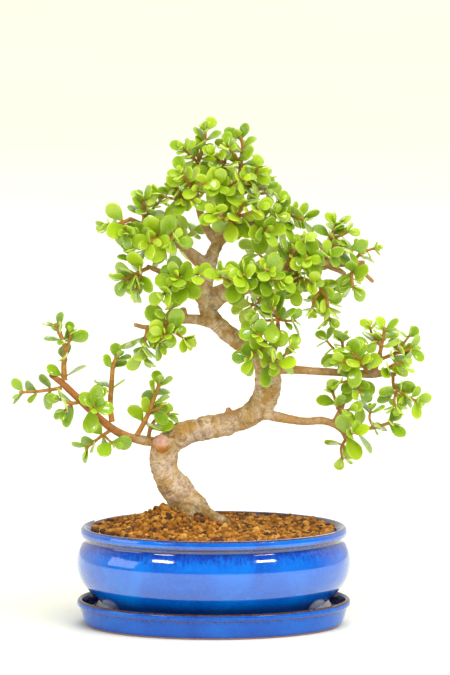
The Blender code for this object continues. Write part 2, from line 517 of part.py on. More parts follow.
def make_soil(home, cutters, look, root_cutters):
    """A filling that follows the pot's inside with a gap, under a lumpy mounded top."""
    sides = OVAL_SIDES
    inside = [(r - FIT_GAP, z) for r, z in pot_inside()[2:]]
    inside[-1] = (inside[-1][0], inside[-1][1] + FIT_GAP)
    edge = inside[0][0] - 0.9
    points = [(0, 0, inside[-1][1])]
    for half_length, z in reversed(inside):
        points += oval_ring(half_length, z)
    for share in (1.0, 0.86, 0.7, 0.54, 0.38, 0.2):
        for x, y, _ in oval_ring(edge * share, 0):
            points.append((x, y, soil_height(x, y)))
    points.append((0, 0, soil_height(0, 0)))
    rings = (len(points) - 2) // sides
    last = len(points) - 1
    faces = [(0, 1 + (i + 1) % sides, 1 + i) for i in range(sides)]
    for ring in range(rings - 1):
        a = 1 + ring * sides
        for i in range(sides):
            j = (i + 1) % sides
            faces.append((a + i, a + j, a + sides + j, a + sides + i))
    a = 1 + (rings - 1) * sides
    faces += [(a + i, a + (i + 1) % sides, last) for i in range(sides)]
    soil = mesh_object("soil", points, faces, home, look)
    for cutter in root_cutters:
        apply_boolean(soil, "DIFFERENCE", cutter)
        cutter.hide_render = True
    return soil


# ---- tubes: the trunk, its limbs and the stems of the shoots ----
def place(x, y, z):
    """A set-out point as a real one: the height drops with depth, and the tree's scale acts about the soil line."""
    if z > 120 and y < 0:
        y *= FRONT_SPREAD
    grown = Vector((x, y, z - FALL * y - SET_OUT_LINE)) * TREE_SCALE
    return grown + Vector((0, 0, SOIL_LINE))


def limb_rows(rows):
    return [(place(x, y, z), r * TREE_SCALE) for x, y, z, r in rows]


def smooth_rows(rows, steps):
    """Points and radii along a curve through the rows, with the given number of steps to a span."""
    ends = [2 * rows[0][0] - rows[1][0]] + [p for p, _ in rows] + [2 * rows[-1][0] - rows[-2][0]]
    out = []
    for i in range(len(rows) - 1):
        a, b, c, d = ends[i:i + 4]
        for step in range(steps):
            t = step / steps
            point = 0.5 * (2 * b + (c - a) * t + (2 * a - 5 * b + 4 * c - d) * t * t + (3 * b - a - 3 * c + d) * t ** 3)
            out.append((point, rows[i][1] * (1 - t) + rows[i + 1][1] * t))
    out.append(rows[-1])
    return out


def carry_frames(points):
    """A tangent and two cross directions at each point, turned as little as possible from one to the next."""
    tangents = []
    for i in range(len(points)):
        ahead = points[min(i + 1, len(points) - 1)] - points[max(i - 1, 0)]
        tangents.append(ahead.normalized())
    first = Vector((0, -1, 0)) if abs(tangents[0].y) < 0.8 else Vector((1, 0, 0))
    side = (first - tangents[0] * first.dot(tangents[0])).normalized()
    out = []
    for i, tangent in enumerate(tangents):
        if i:
            side = tangents[i - 1].rotation_difference(tangent) @ side
            side = (side - tangent * side.dot(tangent)).normalized()
        out.append((tangent, side, tangent.cross(side)))
    return out


def ring_at(centre, frame, radius, sides, phase=0.0):
    _, side, up = frame
    turn = 2 * math.pi / sides
    return [centre + (side * math.cos(phase + i * turn) + up * math.sin(phase + i * turn)) * radius for i in range(sides)]


def tube(rows, sides, grow=0.0):
    """Points and faces of a closed tube with a rounded far end."""
    points = [p for p, _ in rows]
    frames = carry_frames(points)
    out = []
    for (centre, radius), frame in zip(rows, frames):
        out += ring_at(centre, frame, radius + grow, sides)
    tip, radius = rows[-1]
    out += ring_at(tip + frames[-1][0] * (radius + grow) * 0.45, frames[-1], (radius + grow) * 0.55, sides)
    faces = [tuple(reversed(range(sides)))]
    for ring in range(len(rows)):
        a = ring * sides
        for i in range(sides):
            j = (i + 1) % sides
            faces.append((a + i, a + j, a + sides + j, a + sides + i))
    faces.append(tuple(range(len(rows) * sides, len(rows) * sides + sides)))
    return out, faces


def limb_sides(rows):
    return 8 if max(r for _, r in rows[1:]) > 3.5 else 6


def all_limbs():
    """Each woody part's rows, smoothed, and its number of sides."""
    made = {"trunk": (smooth_rows(limb_rows(TRUNK), 1), 12)}
    for name, rows in LIMBS.items():
        real = limb_rows(rows)
        made[name] = (smooth_rows(real, 2 if len(real) < 5 else 1), limb_sides(real))
    return made


def make_trunk(home, cutters, look):
    limbs = all_limbs()
    extras = bpy.data.collections.new("limb_cutters")
    cutters.children.link(extras)
    points, faces = tube(*limbs["trunk"])
    trunk = mesh_object("trunk", points, faces, home, look)
    for name, (rows, sides) in limbs.items():
        if name == "trunk":
            continue
        points, faces = tube(rows, sides)
        limb = mesh_object(name + "_cutter", points, faces, extras)
        apply_boolean(trunk, "UNION", limb)
        limb.hide_render = True
    for face in trunk.data.polygons:
        face.use_smooth = True
    return trunk


def root_cutters(cutters):
    """The buried parts of the trunk, larger by the gap, to cut the soil with."""
    made = []
    for name, (rows, sides) in all_limbs().items():
        if name != "trunk" and not name.startswith("root"):
            continue
        if name == "trunk":
            rows = rows[:6]
        points, faces = tube(rows, sides, 1.6 * FIT_GAP)
        made.append(mesh_object(name + "_in_soil_cutter", points, faces, cutters))
    return made


# ---- leafy shoots ----
class Taken:
    """What is already in place, so that a new stem or leaf can keep clear of it."""

    def __init__(self):
        self.items = []

    @staticmethod
    def box(points):
        low = Vector([min(p[k] for p in points) for k in range(3)])
        high = Vector([max(p[k] for p in points) for k in range(3)])
        return low, high

    def add(self, owner, points, faces):
        self.items.append((owner, BVHTree.FromPolygons(points, faces), *self.box(points)))

    def hit(self, points, faces, skip=None, only=None):
        """Whether these faces cross anything in place, or anything but one owner's, or only that owner's."""
        low, high = self.box(points)
        tree = None
        for owner, other, other_low, other_high in self.items:
            if owner == skip or (only and owner != only):
                continue
            if any(low[k] > other_high[k] or high[k] < other_low[k] for k in range(3)):
                continue
            tree = tree or BVHTree.FromPolygons(points, faces)
            if tree.overlap(other):
                return True
        return False


def along(points, distance):
    """The point and direction at a distance along a bent line."""
    for a, b in zip(points, points[1:]):
        length = (b - a).length
        if distance <= length:
            return a + (b - a) * (distance / length), (b - a).normalized()
        distance -= length
    return points[-1], (points[-1] - points[-2]).normalized()


def shoot_line(points):
    """A shoot's centre line, smoothed, in real millimetres."""
    rows = [(place(*p), 1.0) for p in points]
    return [p for p, _ in smooth_rows(rows, 4)]


def line_length(points):
    return sum((b - a).length for a, b in zip(points, points[1:]))


def stem_plan(line, pairs, start):
    """A stem's length, and how far along it each leaf pair stands."""
    total = line_length(line)
    if isinstance(pairs, tuple):
        return total, [min(max(total * share, start + 1.8), total - 1.2) for share in pairs]
    first = start + max(2.2, (total - start) * 0.24)
    last = total - 1.6
    if pairs == 1:
        nodes = [last - 0.4]
    else:
        nodes = [first + (last - first) * i / (pairs - 1) for i in range(pairs)]
    return total, nodes


class Stem:
    """One jointed stem of a shoot. Its opposite leaf pairs stand crosswise, each leaf drawn out of a stem face."""

    def __init__(self, name, seed, points, pairs, leaf, turn, thick, thin):
        self.name = name
        self.dice = random.Random(seed)
        self.line = shoot_line(points)
        self.pairs = pairs
        self.leaf = leaf * LEAF_SCALE
        self.turn = math.radians(turn)
        self.thick = thick
        self.thin = thin
        self.sides = 4 if thick < THIN_STEM else 6
        self.points = []
        self.faces = []
        self.leaves = []

    def grow_from_limb(self, taken):
        """A shoot's own stem starts as near its limb as the gap allows."""
        start = 0.0
        while start < line_length(self.line) - 2.6:
            self.lay_rings(start)
            if not taken.hit(*self.fat_stem(FIT_GAP)):
                self.stem_faces()
                taken.add(self.name, *self.fat_stem(0.02))
                return
            start += 0.3
        raise ValueError("no room for " + self.name)

    def grow_from_stem(self, taken):
        """A side stem starts inside its shoot's own stem. It is left out where it would touch another shoot."""
        self.lay_rings(0.0)
        if taken.hit(*self.fat_stem(FIT_GAP), skip=self.name):
            return False
        self.stem_faces()
        taken.add(self.name, *self.fat_stem(0.02))
        return True

    def lay_rings(self, start):
        total, nodes = stem_plan(self.line, self.pairs, start)
        self.nodes = nodes
        marks = [(start, 0.92)]
        for node in nodes:
            marks += [(node - 0.75, 1.12), (node + 0.75, 1.12)]
        marks.append((total + 0.3, 0.8))
        centres = []
        for distance, _ in marks:
            centres.append(along(self.line, distance)[0])
        centres[-1] = centres[-2] + (centres[-2] - centres[-3]).normalized() * 0.9
        self.centres = centres
        self.frames = carry_frames(centres)
        self.radii = [
            (self.thick + (self.thin - self.thick) * (d - start) / (total - start)) * swell for d, swell in marks
        ]
        self.rings = []
        for i, centre in enumerate(centres):
            step = math.pi / 2 - 2 * math.pi / self.sides
            twist = self.turn + step * max(0, min(len(nodes) - 1, (i - 1) // 2))
            self.rings.append(ring_at(centre, self.frames[i], self.radii[i], self.sides, twist))

    def fat_stem(self, grow):
        rows = [(c, r + grow) for c, r in zip(self.centres, self.radii)]
        low = rows[0][0] - self.frames[0][0] * grow
        rows[0] = (low, rows[0][1])
        return tube(rows, 12)

    def stem_faces(self):
        """Every side face of the stem, left open where a leaf will grow from it."""
        n = self.sides
        self.points = [p for ring in self.rings for p in ring]
        self.faces = [tuple(reversed(range(n)))]
        self.open_faces = []
        for ring in range(len(self.rings) - 1):
            at_node = ring % 2 == 1
            node = (ring - 1) // 2
            for i in range(n):
                j = (i + 1) % n
                face = (ring * n + i, ring * n + j, (ring + 1) * n + j, (ring + 1) * n + i)
                if at_node and i in (node % n, (node + n // 2) % n):
                    self.open_faces.append((node, ring, face))
                else:
                    self.faces.append(face)
        top = (len(self.rings) - 1) * n
        self.faces.append(tuple(range(top, top + n)))

    def leaf_frame(self, face, ring, lift, twist, sway):
        """The middle of a stem face, and the leaf's forward, across and upper directions from it."""
        middle = sum((self.points[i] for i in face), Vector()) / 4
        axis = (self.centres[ring + 1] - self.centres[ring]).normalized()
        radial = middle - self.centres[ring]
        radial = (radial - axis * radial.dot(axis)).normalized()
        across = axis.cross(radial)
        forward = radial * math.cos(lift) + axis * math.sin(lift)
        forward = (forward + across * math.sin(sway)).normalized()
        across = (across - forward * across.dot(forward)).normalized()
        upper = forward.cross(across)
        twist += 0.55 * self.turn_to_light(middle, forward, across, upper)
        turned = across * math.cos(twist) + upper * math.sin(twist)
        return middle, forward, turned, forward.cross(turned)

    @staticmethod
    def turn_to_light(middle, forward, across, upper):
        """The turn about its own length that would face a leaf up and out of the crown."""
        out = Vector((0.3 if middle.x > 0 else -0.3, 0.8 if middle.y > 16 else -0.8, 0.55))
        out -= forward * out.dot(forward)
        return max(-1.7, min(1.7, math.atan2(-out.dot(across), out.dot(upper))))

    @staticmethod
    def leaf_rings(frame, length, width, thick, droop, grow=0.0):
        """The leaf's full cross-section near its middle, and then the three points of its thin round end."""
        middle, forward, across, upper = frame
        centre = middle + forward * (length * 0.5) - upper * (droop * 0.3)
        half = width * 0.95 / 2 + grow
        rise = thick / 2 + grow
        girth = [centre - across * half, centre - upper * rise, centre + across * half, centre + upper * rise]
        shoulder = middle + forward * (length * 0.86 + grow) - upper * (droop * 0.75)
        half = width * 0.8 / 2 + grow
        tip = middle + forward * (length + grow) - upper * droop
        return [girth, [shoulder - across * half, tip, shoulder + across * half]]

    @staticmethod
    def blade_mesh(base, rings):
        """A leaf blade as points and faces, from a base of four points to its end."""
        points = list(base) + rings[0] + rings[1]
        faces = [(i, (i + 1) % 4, 4 + (i + 1) % 4, 4 + i) for i in range(4)]
        left, low, right, top = 4, 5, 6, 7
        end_left, tip, end_right = 8, 9, 10
        faces += [(left, low, end_left), (low, tip, end_left), (low, end_right, tip), (low, right, end_right)]
        faces += [(right, top, end_right), (top, tip, end_right), (top, end_left, tip), (top, left, end_left)]
        return points, faces

    def try_leaf(self, face, ring, length, lift, twist, sway, taken):
        frame = self.leaf_frame(face, ring, lift, twist, sway)
        width = length * LEAF_WIDTH
        droop = length * 0.1
        fat = self.leaf_rings(frame, length, width, LEAF_THICKNESS, droop, FIT_GAP)
        middle, forward, across, upper = frame
        corners = [self.points[i] for i in face]
        wide = [middle + (corner - middle) * 1.35 for corner in corners]
        if taken.hit(*self.blade_mesh(wide, fat), skip=self.name):
            return None
        foot = middle + forward * (length * 0.12)
        narrow = [foot - across * 1.1, foot - upper * 0.9, foot + across * 1.1, foot + upper * 0.9]
        if taken.hit(*self.blade_mesh(narrow, fat), only=self.name):
            return None
        return frame, self.leaf_rings(frame, length, width, LEAF_THICKNESS, droop), width, droop

    def grow_leaf(self, node, ring, face, taken):
        """Tries the natural stance first, then wider and smaller ones, and leaves a bare face if none is free."""
        share = node / max(1, len(self.nodes) - 1)
        size = self.leaf * (1.04 - 0.27 * share if len(self.nodes) > 1 else 1.0) * self.dice.uniform(0.9, 1.1)
        lift = math.radians(26 + 22 * share + self.dice.uniform(-12, 12))
        twist = math.radians(self.dice.uniform(-28, 28))
        sway = math.radians(self.dice.uniform(-14, 14))
        for attempt in range(16):
            reach = attempt * 0.075
            found = self.try_leaf(
                face, ring, size * (1 - 0.022 * attempt), lift + self.dice.uniform(-1, 1) * reach,
                twist + self.dice.uniform(-1, 1) * reach * 1.6, sway + self.dice.uniform(-1, 1) * reach, taken,
            )
            if found:
                frame, rings, width, droop = found
                self.add_blade(face, rings)
                taken.add(self.name, *self.blade_mesh([self.points[i] for i in face], rings))
                self.leaves.append((frame, size * (1 - 0.022 * attempt), width, droop))
                return
        self.faces.append(face)

    def add_blade(self, face, rings):
        """Joins the blade to the stem face it grows from: its own four corners are the blade's base."""
        start = len(self.points)
        self.points += rings[0] + rings[1]
        _, faces = self.blade_mesh([0] * 4, rings)
        shift = {i: face[i] for i in range(4)}
        shift.update({i: start + i - 4 for i in range(4, 11)})
        self.faces += [tuple(shift[i] for i in f) for f in faces]

    def grow_leaves(self, taken):
        for node, ring, face in self.open_faces:
            self.grow_leaf(node, ring, face, taken)


def plan_shoots():
    """Every shoot's stems, first the ones on limbs and then their side stems, and after that all the leaves."""
    taken = Taken()
    for name, (rows, sides) in all_limbs().items():
        taken.add("wood", *tube(rows, sides, 0.02))
    shoots = {}
    for seed, (name, plans) in enumerate(SHOOTS.items()):
        stems = [Stem(name, 1000 + 10 * seed + i, *plan) for i, plan in enumerate(plans)]
        stems[0].grow_from_limb(taken)
        shoots[name] = stems
    for name, stems in shoots.items():
        shoots[name] = stems[:1] + [side for side in stems[1:] if side.grow_from_stem(taken)]
    for stems in shoots.values():
        for stem in stems:
            stem.grow_leaves(taken)
    return shoots


def make_shoots(home, cutters, look):
    shoots = plan_shoots()
    for name, stems in shoots.items():
        shoot = mesh_object(name, stems[0].points, stems[0].faces, home, look)
        for side in stems[1:]:
            branch = mesh_object(name + "_side_cutter", side.points, side.faces, cutters)
            apply_boolean(shoot, "UNION", branch)
            branch.hide_render = True
        for face in shoot.data.polygons:
            face.use_smooth = True
    return shoots


def main():
    clear_scene()
    bpy.context.scene.unit_settings.scale_length = 1.0
    parts = collection("bonsai_in_pot")
    cutters = collection("cutters")
    cutters.hide_render = True
    looks = {name: material(name) for name in LOOKS}
    make_tray(parts, looks["blue_glaze"])
    make_pot(parts, cutters, looks["blue_glaze"])
    make_soil(parts, cutters, looks["granular_soil"], root_cutters(cutters))
    make_trunk(parts, cutters, looks["bark"])
    shoots = make_shoots(parts, cutters, looks["leaf"])
    for helper in cutters.all_objects:
        helper.hide_render = True
        helper.display_type = "WIRE"
    stems = [stem for group in shoots.values() for stem in group]
    print("shoots", len(shoots), "stems", len(stems), "leaves", sum(len(stem.leaves) for stem in stems))


main()
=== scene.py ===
"""The looks of a small succulent bonsai in an oval blue pot on its drip tray, built around the CAD frame.

The tables and the growing code work in millimetres, and a mesh is made in metres.
"""

import math
import random

import bmesh
import bpy
import numpy as np
from mathutils import Matrix, Vector, noise
from mathutils.bvhtree import BVHTree
from mathutils.kdtree import KDTree


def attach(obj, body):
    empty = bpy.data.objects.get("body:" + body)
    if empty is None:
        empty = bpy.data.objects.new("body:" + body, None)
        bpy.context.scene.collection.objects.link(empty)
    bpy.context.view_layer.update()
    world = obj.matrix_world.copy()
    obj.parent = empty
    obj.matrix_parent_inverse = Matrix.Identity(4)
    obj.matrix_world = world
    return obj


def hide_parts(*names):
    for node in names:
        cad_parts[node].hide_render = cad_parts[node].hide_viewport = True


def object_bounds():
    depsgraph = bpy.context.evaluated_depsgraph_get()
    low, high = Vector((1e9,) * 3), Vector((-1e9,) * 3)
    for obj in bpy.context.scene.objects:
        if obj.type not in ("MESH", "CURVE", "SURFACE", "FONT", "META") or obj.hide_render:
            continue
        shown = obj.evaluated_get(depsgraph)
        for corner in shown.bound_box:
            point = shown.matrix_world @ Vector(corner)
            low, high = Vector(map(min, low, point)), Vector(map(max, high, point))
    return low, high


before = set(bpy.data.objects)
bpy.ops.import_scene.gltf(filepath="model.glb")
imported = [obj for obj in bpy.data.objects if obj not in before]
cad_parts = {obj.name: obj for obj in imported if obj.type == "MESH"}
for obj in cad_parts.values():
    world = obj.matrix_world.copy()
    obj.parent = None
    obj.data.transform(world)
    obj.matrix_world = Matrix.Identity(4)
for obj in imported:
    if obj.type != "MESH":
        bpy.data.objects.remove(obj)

CAD_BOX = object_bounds()

# ---- the view, in degrees and mm, and the strength of the lights ----
CAMERA_TILT = 7.5
CAMERA_AWAY = 6000.0
SENSOR_TALL = 36
FRAME_TALL = 490.0
LOOK_ACROSS = 8.2
LOOK_HEIGHT = 210.4
WORLD_LIGHT = 0.36
SUN_LIGHT = 2.7

# ---- fineness of the looks ----
FINE_SIDES = 160  # of the pot and the tray
PROFILE_STEPS = 6  # between two rows of a profile
INSIDE_STEPS = 4  # the same inside the pot
TRUNK_SIDES, TRUNK_STEPS = 48, 10
LIMB_SIDES, LIMB_STEPS = 24, 8
WOOD_VOXEL = 0.00074  # metres
LEAF_ROWS = 12
LEAF_COLUMNS = 12
LEAF_WIDEST = 0.6  # of the way along it
LEAF_SLIM = 0.86  # of the width of the CAD's leaf
STEM_COLUMNS = 12
STEM_STEP = 0.7  # mm between rings
GRAIN_SHAPES = 14
GRAIN_RADII = (0.9, 2.9, 1.55)  # least, most and commonest
DARK_GRAINS = 0.045  # the share of them
SOIL_SEED = 41
GRAIN_GAPS = (2.65, 3.8)  # between granules, in the lower and the upper layer
ROW_CLOSENESS = 0.87  # rows of granules stand nearer than their neighbours in a row
FULLNESS = {  # smaller leaves tried round each joint, and between joints, by where a shoot grows
    "low_left": (0, 0), "low_right": (1, 0), "mid_right": (2, 1), "upper_right": (3, 2),
}
CROWN_FULLNESS = (3, 2)

# ---- driving dimensions, mm ----
MM = 0.001
POT_LENGTH = 200.0  # over the belly, along X
POT_BASE_LENGTH = 150.0
POT_NECK_LENGTH = 188.6
POT_LIP_LENGTH = 195.0
POT_DEPTH_RATIO = 0.78  # depth over length, of every oval
POT_HEIGHT = 60.6  # base to lip crest
POT_WALL = 4.6
POT_FLOOR = 5.0
FOOT_HEIGHT = 6.6  # tray floor to the pot's base
FOOT_RADIUS = 6.6
FOOT_OVERHANG = 3.0  # how far past the base's end a foot's centre stands
FOOT_SPACING = 36.0  # between a pair's centres, across the pot
DRAIN_RADIUS = 6.0
DRAIN_SPACING = 72.0
BELLY_DROP = 2.6  # how far the belly's widest part hangs lower than in the CAD
TRAY_INSET = 0.3  # the tray's end inside the belly's end
TRAY_HEIGHT = 19.0
TRAY_FLOOR = 4.8
TRAY_WALL = 4.2
FIT_GAP = 0.35  # between soil and pot, soil and roots, and between shoots
REST_GAP = 0.15  # under the pot's feet
STEM_SKIN = 0.02  # the clearance kept round wood and stems that are in place
TREE_SCALE = 1.0  # spread and height of the tree above the soil
FRONT_SPREAD = 1.45  # how much further forward the front of the tree reaches than set out, above LOW_GROWTH
LOW_GROWTH = 120
LEAF_SCALE = 1.08
LEAF_WIDTH = 0.85  # of a leaf's length
LEAF_DROOP = 0.1  # of a leaf's length
LEAF_THICKNESS = 1.7
JOINT_HALF = 0.75  # half the height of the swelling at a joint
START_STEP = 0.3  # how far a stem moves out from its limb at a time
SHORTEST_STEM = 2.6
LEAF_LIGHT, EXTRA_LIGHT = 0.55, 0.2  # how far leaves turn towards the light
THIN_STEM = 1.35  # stems thinner than this have four sides in the CAD, the others six
LEAF_TRIES, EXTRA_TRIES, TIP_TRIES = 16, 5, 6
FIRST_SEED = 1000
MOST_SHAPES = 6000  # room for the stems and leaves in place
FALL = 0.155  # heights below are set out as seen from a little above, so a point drops this share of its depth

# ---- what follows from them ----
POT_BASE_Z = TRAY_FLOOR + FOOT_HEIGHT
CREST_Z = POT_BASE_Z + POT_HEIGHT
FOOT_TOP_Z = POT_BASE_Z + POT_FLOOR - 0.9
TRAY_LENGTH = POT_LENGTH - 2 * TRAY_INSET
SET_OUT_LINE = 80.0  # the height in the tables below where the trunk leaves the soil
SOIL_LINE = CREST_Z + 8.0  # where that is on the real tree

# ---- the tree's woody parts: points (across, depth, height, radius) ----
TRUNK = [
    (0, 3, 56, 5), (-5, 2, 67, 9), (-11, 1, 77, 12.2), (-17.4, 0, 85, 12.2), (-26, -1, 98, 11.2),
    (-32.6, -1, 107, 10.4), (-36, -1, 116, 10.1), (-35.9, -1, 127, 10), (-31.2, -1, 134, 9.6), (-20.3, 0, 140.6, 9.4),
    (-4.7, 1, 144.7, 8.4), (8.3, 1, 147, 8.2), (21, 1, 151, 8.2), (31.2, 1, 158, 8.4), (37, 0, 166, 9.4),
    (39.3, 0, 176, 9.6), (38.5, 0, 186, 9), (34.8, 0, 193.4, 8.2), (26.1, 0, 201.5, 7.2), (17.4, 0, 208.1, 6.6),
    (8, 0, 215.5, 6.2), (0.7, 0, 222.8, 6), (-5.1, 0, 231.6, 5.6), (-6.5, 1, 244.8, 5), (-3.6, 2, 259.5, 5),
    (-0.7, 3, 272, 4.8), (4.1, 4, 281, 4.2),
]
LIMBS = {
    "root_right": [(-12, -2, 82, 8), (-2, -6, 78.5, 5.4), (8, -8, 74.5, 3.4), (15, -9, 68, 2)],
    "root_left": [(-22, -1, 88, 8), (-32, -3, 82.5, 5), (-40, -5, 77.5, 3.2), (-45, -6, 71, 2)],
    "root_front": [(-18, -3, 86, 8), (-18, -13, 79, 5), (-16, -21, 73.5, 3.2), (-15, -26, 67, 2)],
    "root_back": [(-13, 4, 84, 8), (-11, 14, 81, 4.6), (-8, 22, 79, 3), (-6, 27, 74, 2)],
    "knob": [(-34, -2, 129, 5), (-37.5, -8, 132.5, 5), (-38.6, -10.6, 133.6, 4.2)],
    "stub_on_trunk": [(12, 1, 148, 4), (11, 0, 155.5, 2.8), (10.6, 0, 158.6, 1.9)],
    "low_left": [(-33, -2, 130, 5), (-42, -4, 133.4, 3.9), (-57, -6, 136, 3.2), (-73, -7, 143, 3),
        (-91, -8, 158.5, 2.8), (-109, -8, 176, 2.5), (-118.5, -8, 182.7, 1.7)],
    "low_right": [(31, 0, 156, 6), (43, -1, 153, 3.9), (64, -3, 149, 3), (78, -4, 149.5, 2.9), (87, -4, 147, 2.7),
        (93.5, -5, 142, 2.4), (96, -5, 136, 1.8)],
    "low_right_stub": [(87, -4, 147, 2.2), (92, -4, 157, 2.1), (95.6, -4, 167, 1.6)],
    "mid_right": [(38, 0, 186, 6), (49, -1, 187.4, 3.7), (69, -3, 186, 3), (85, -4, 185, 2.8), (102, -5, 184, 2.9),
        (116, -6, 183.5, 3.1), (124, -6, 184, 2.2), (132, -6, 183, 1.6)],
    "mid_right_riser": [(115, -6, 183.5, 2.4), (119, -6, 192, 1.9), (121, -6, 198, 1.6)],
    "upper_right": [(-5, 0, 230, 5), (9, -3, 241.5, 4.6), (22, -5, 245.5, 4.4), (34, -6, 249, 4), (46, -5, 256.5, 3.6),
        (60, -4, 262, 3), (76, -3, 264, 2.6), (97, -3, 264, 2.2), (109, -3, 265, 1.8)],
    "upper_right_fork": [(66, -4, 263, 2.3), (76, -2, 271, 2), (84, -1, 279, 1.7)],
    "upper_right_cut": [(78, -4, 264, 1.9), (86, -7, 260.5, 1.7), (95.5, -8, 257, 1.4)],
    "upper_right_end": [(99, -3, 264.5, 1.8), (107, -4, 259, 1.7), (115.5, -4, 251, 1.5)],
    "front": [(36, -2, 190, 4), (43, -11, 200, 2.4), (46, -14, 210, 2), (46.5, -15, 220, 1.6)],
    "left": [(-3, 2, 262, 4), (-15, 0, 272, 3.2), (-30, -3, 281, 2.9), (-45, -5, 289, 2.3), (-61, -7, 297, 1.7)],
    "left_riser": [(-29, -3, 281, 2.3), (-29, -3, 295, 2), (-24, -3, 307, 1.6)],
    "left_middle": [(-5, 0, 234, 4.4), (-14, -3, 243, 3.1), (-24, -6, 251, 2.6), (-36, -9, 257, 2.2),
        (-48, -11, 262, 1.7)],
    "left_lower": [(2, 0, 221, 5), (-9, -3, 223, 3.6), (-21, -5, 223.5, 3.2), (-34, -7, 220, 2.3),
        (-48, -9, 217.5, 1.8), (-57.5, -10, 219.5, 1.6)],
    "left_lower_cut": [(-21, -5, 222, 3), (-22.5, -5, 231, 2.8)],
    "leader_left": [(3, 4, 279, 4), (-6, 3, 292, 3), (-11, 2, 306, 2.5), (-13.5, 0, 322, 2.1), (-13.5, 0, 334, 1.7)],
    "leader_middle": [(3, 4, 279, 4), (8, 4, 299, 2.8), (10, 3, 318, 2.3), (9, 2, 333, 1.7)],
    "leader_right": [(8, 4, 298, 2.5), (16, 3, 308, 2.2), (20, 2, 318, 2), (19, 1, 329, 1.7)],
    "crown_right": [(3, 4, 280, 4), (16, 3, 289, 2.7), (30, 2, 294, 2.3), (42, 1, 298, 1.9)],
    "back_left": [(-4, 2, 252, 4), (-9, 15, 261, 2.6), (-17, 29, 270, 2.1), (-24, 40, 279, 1.7)],
    "back_right": [(-5, 1, 242, 4), (8, 14, 248, 2.8), (23, 27, 256, 2.3), (37, 37, 264, 1.8)],
    "back_low": [(16, 1, 209, 4), (22, 14, 215, 2.6), (27, 27, 223, 2.1), (30, 38, 232, 1.7)],
    "back_crown": [(8, 5, 300, 2.6), (9, 15, 309, 2.1), (5, 25, 318, 1.7)],
}

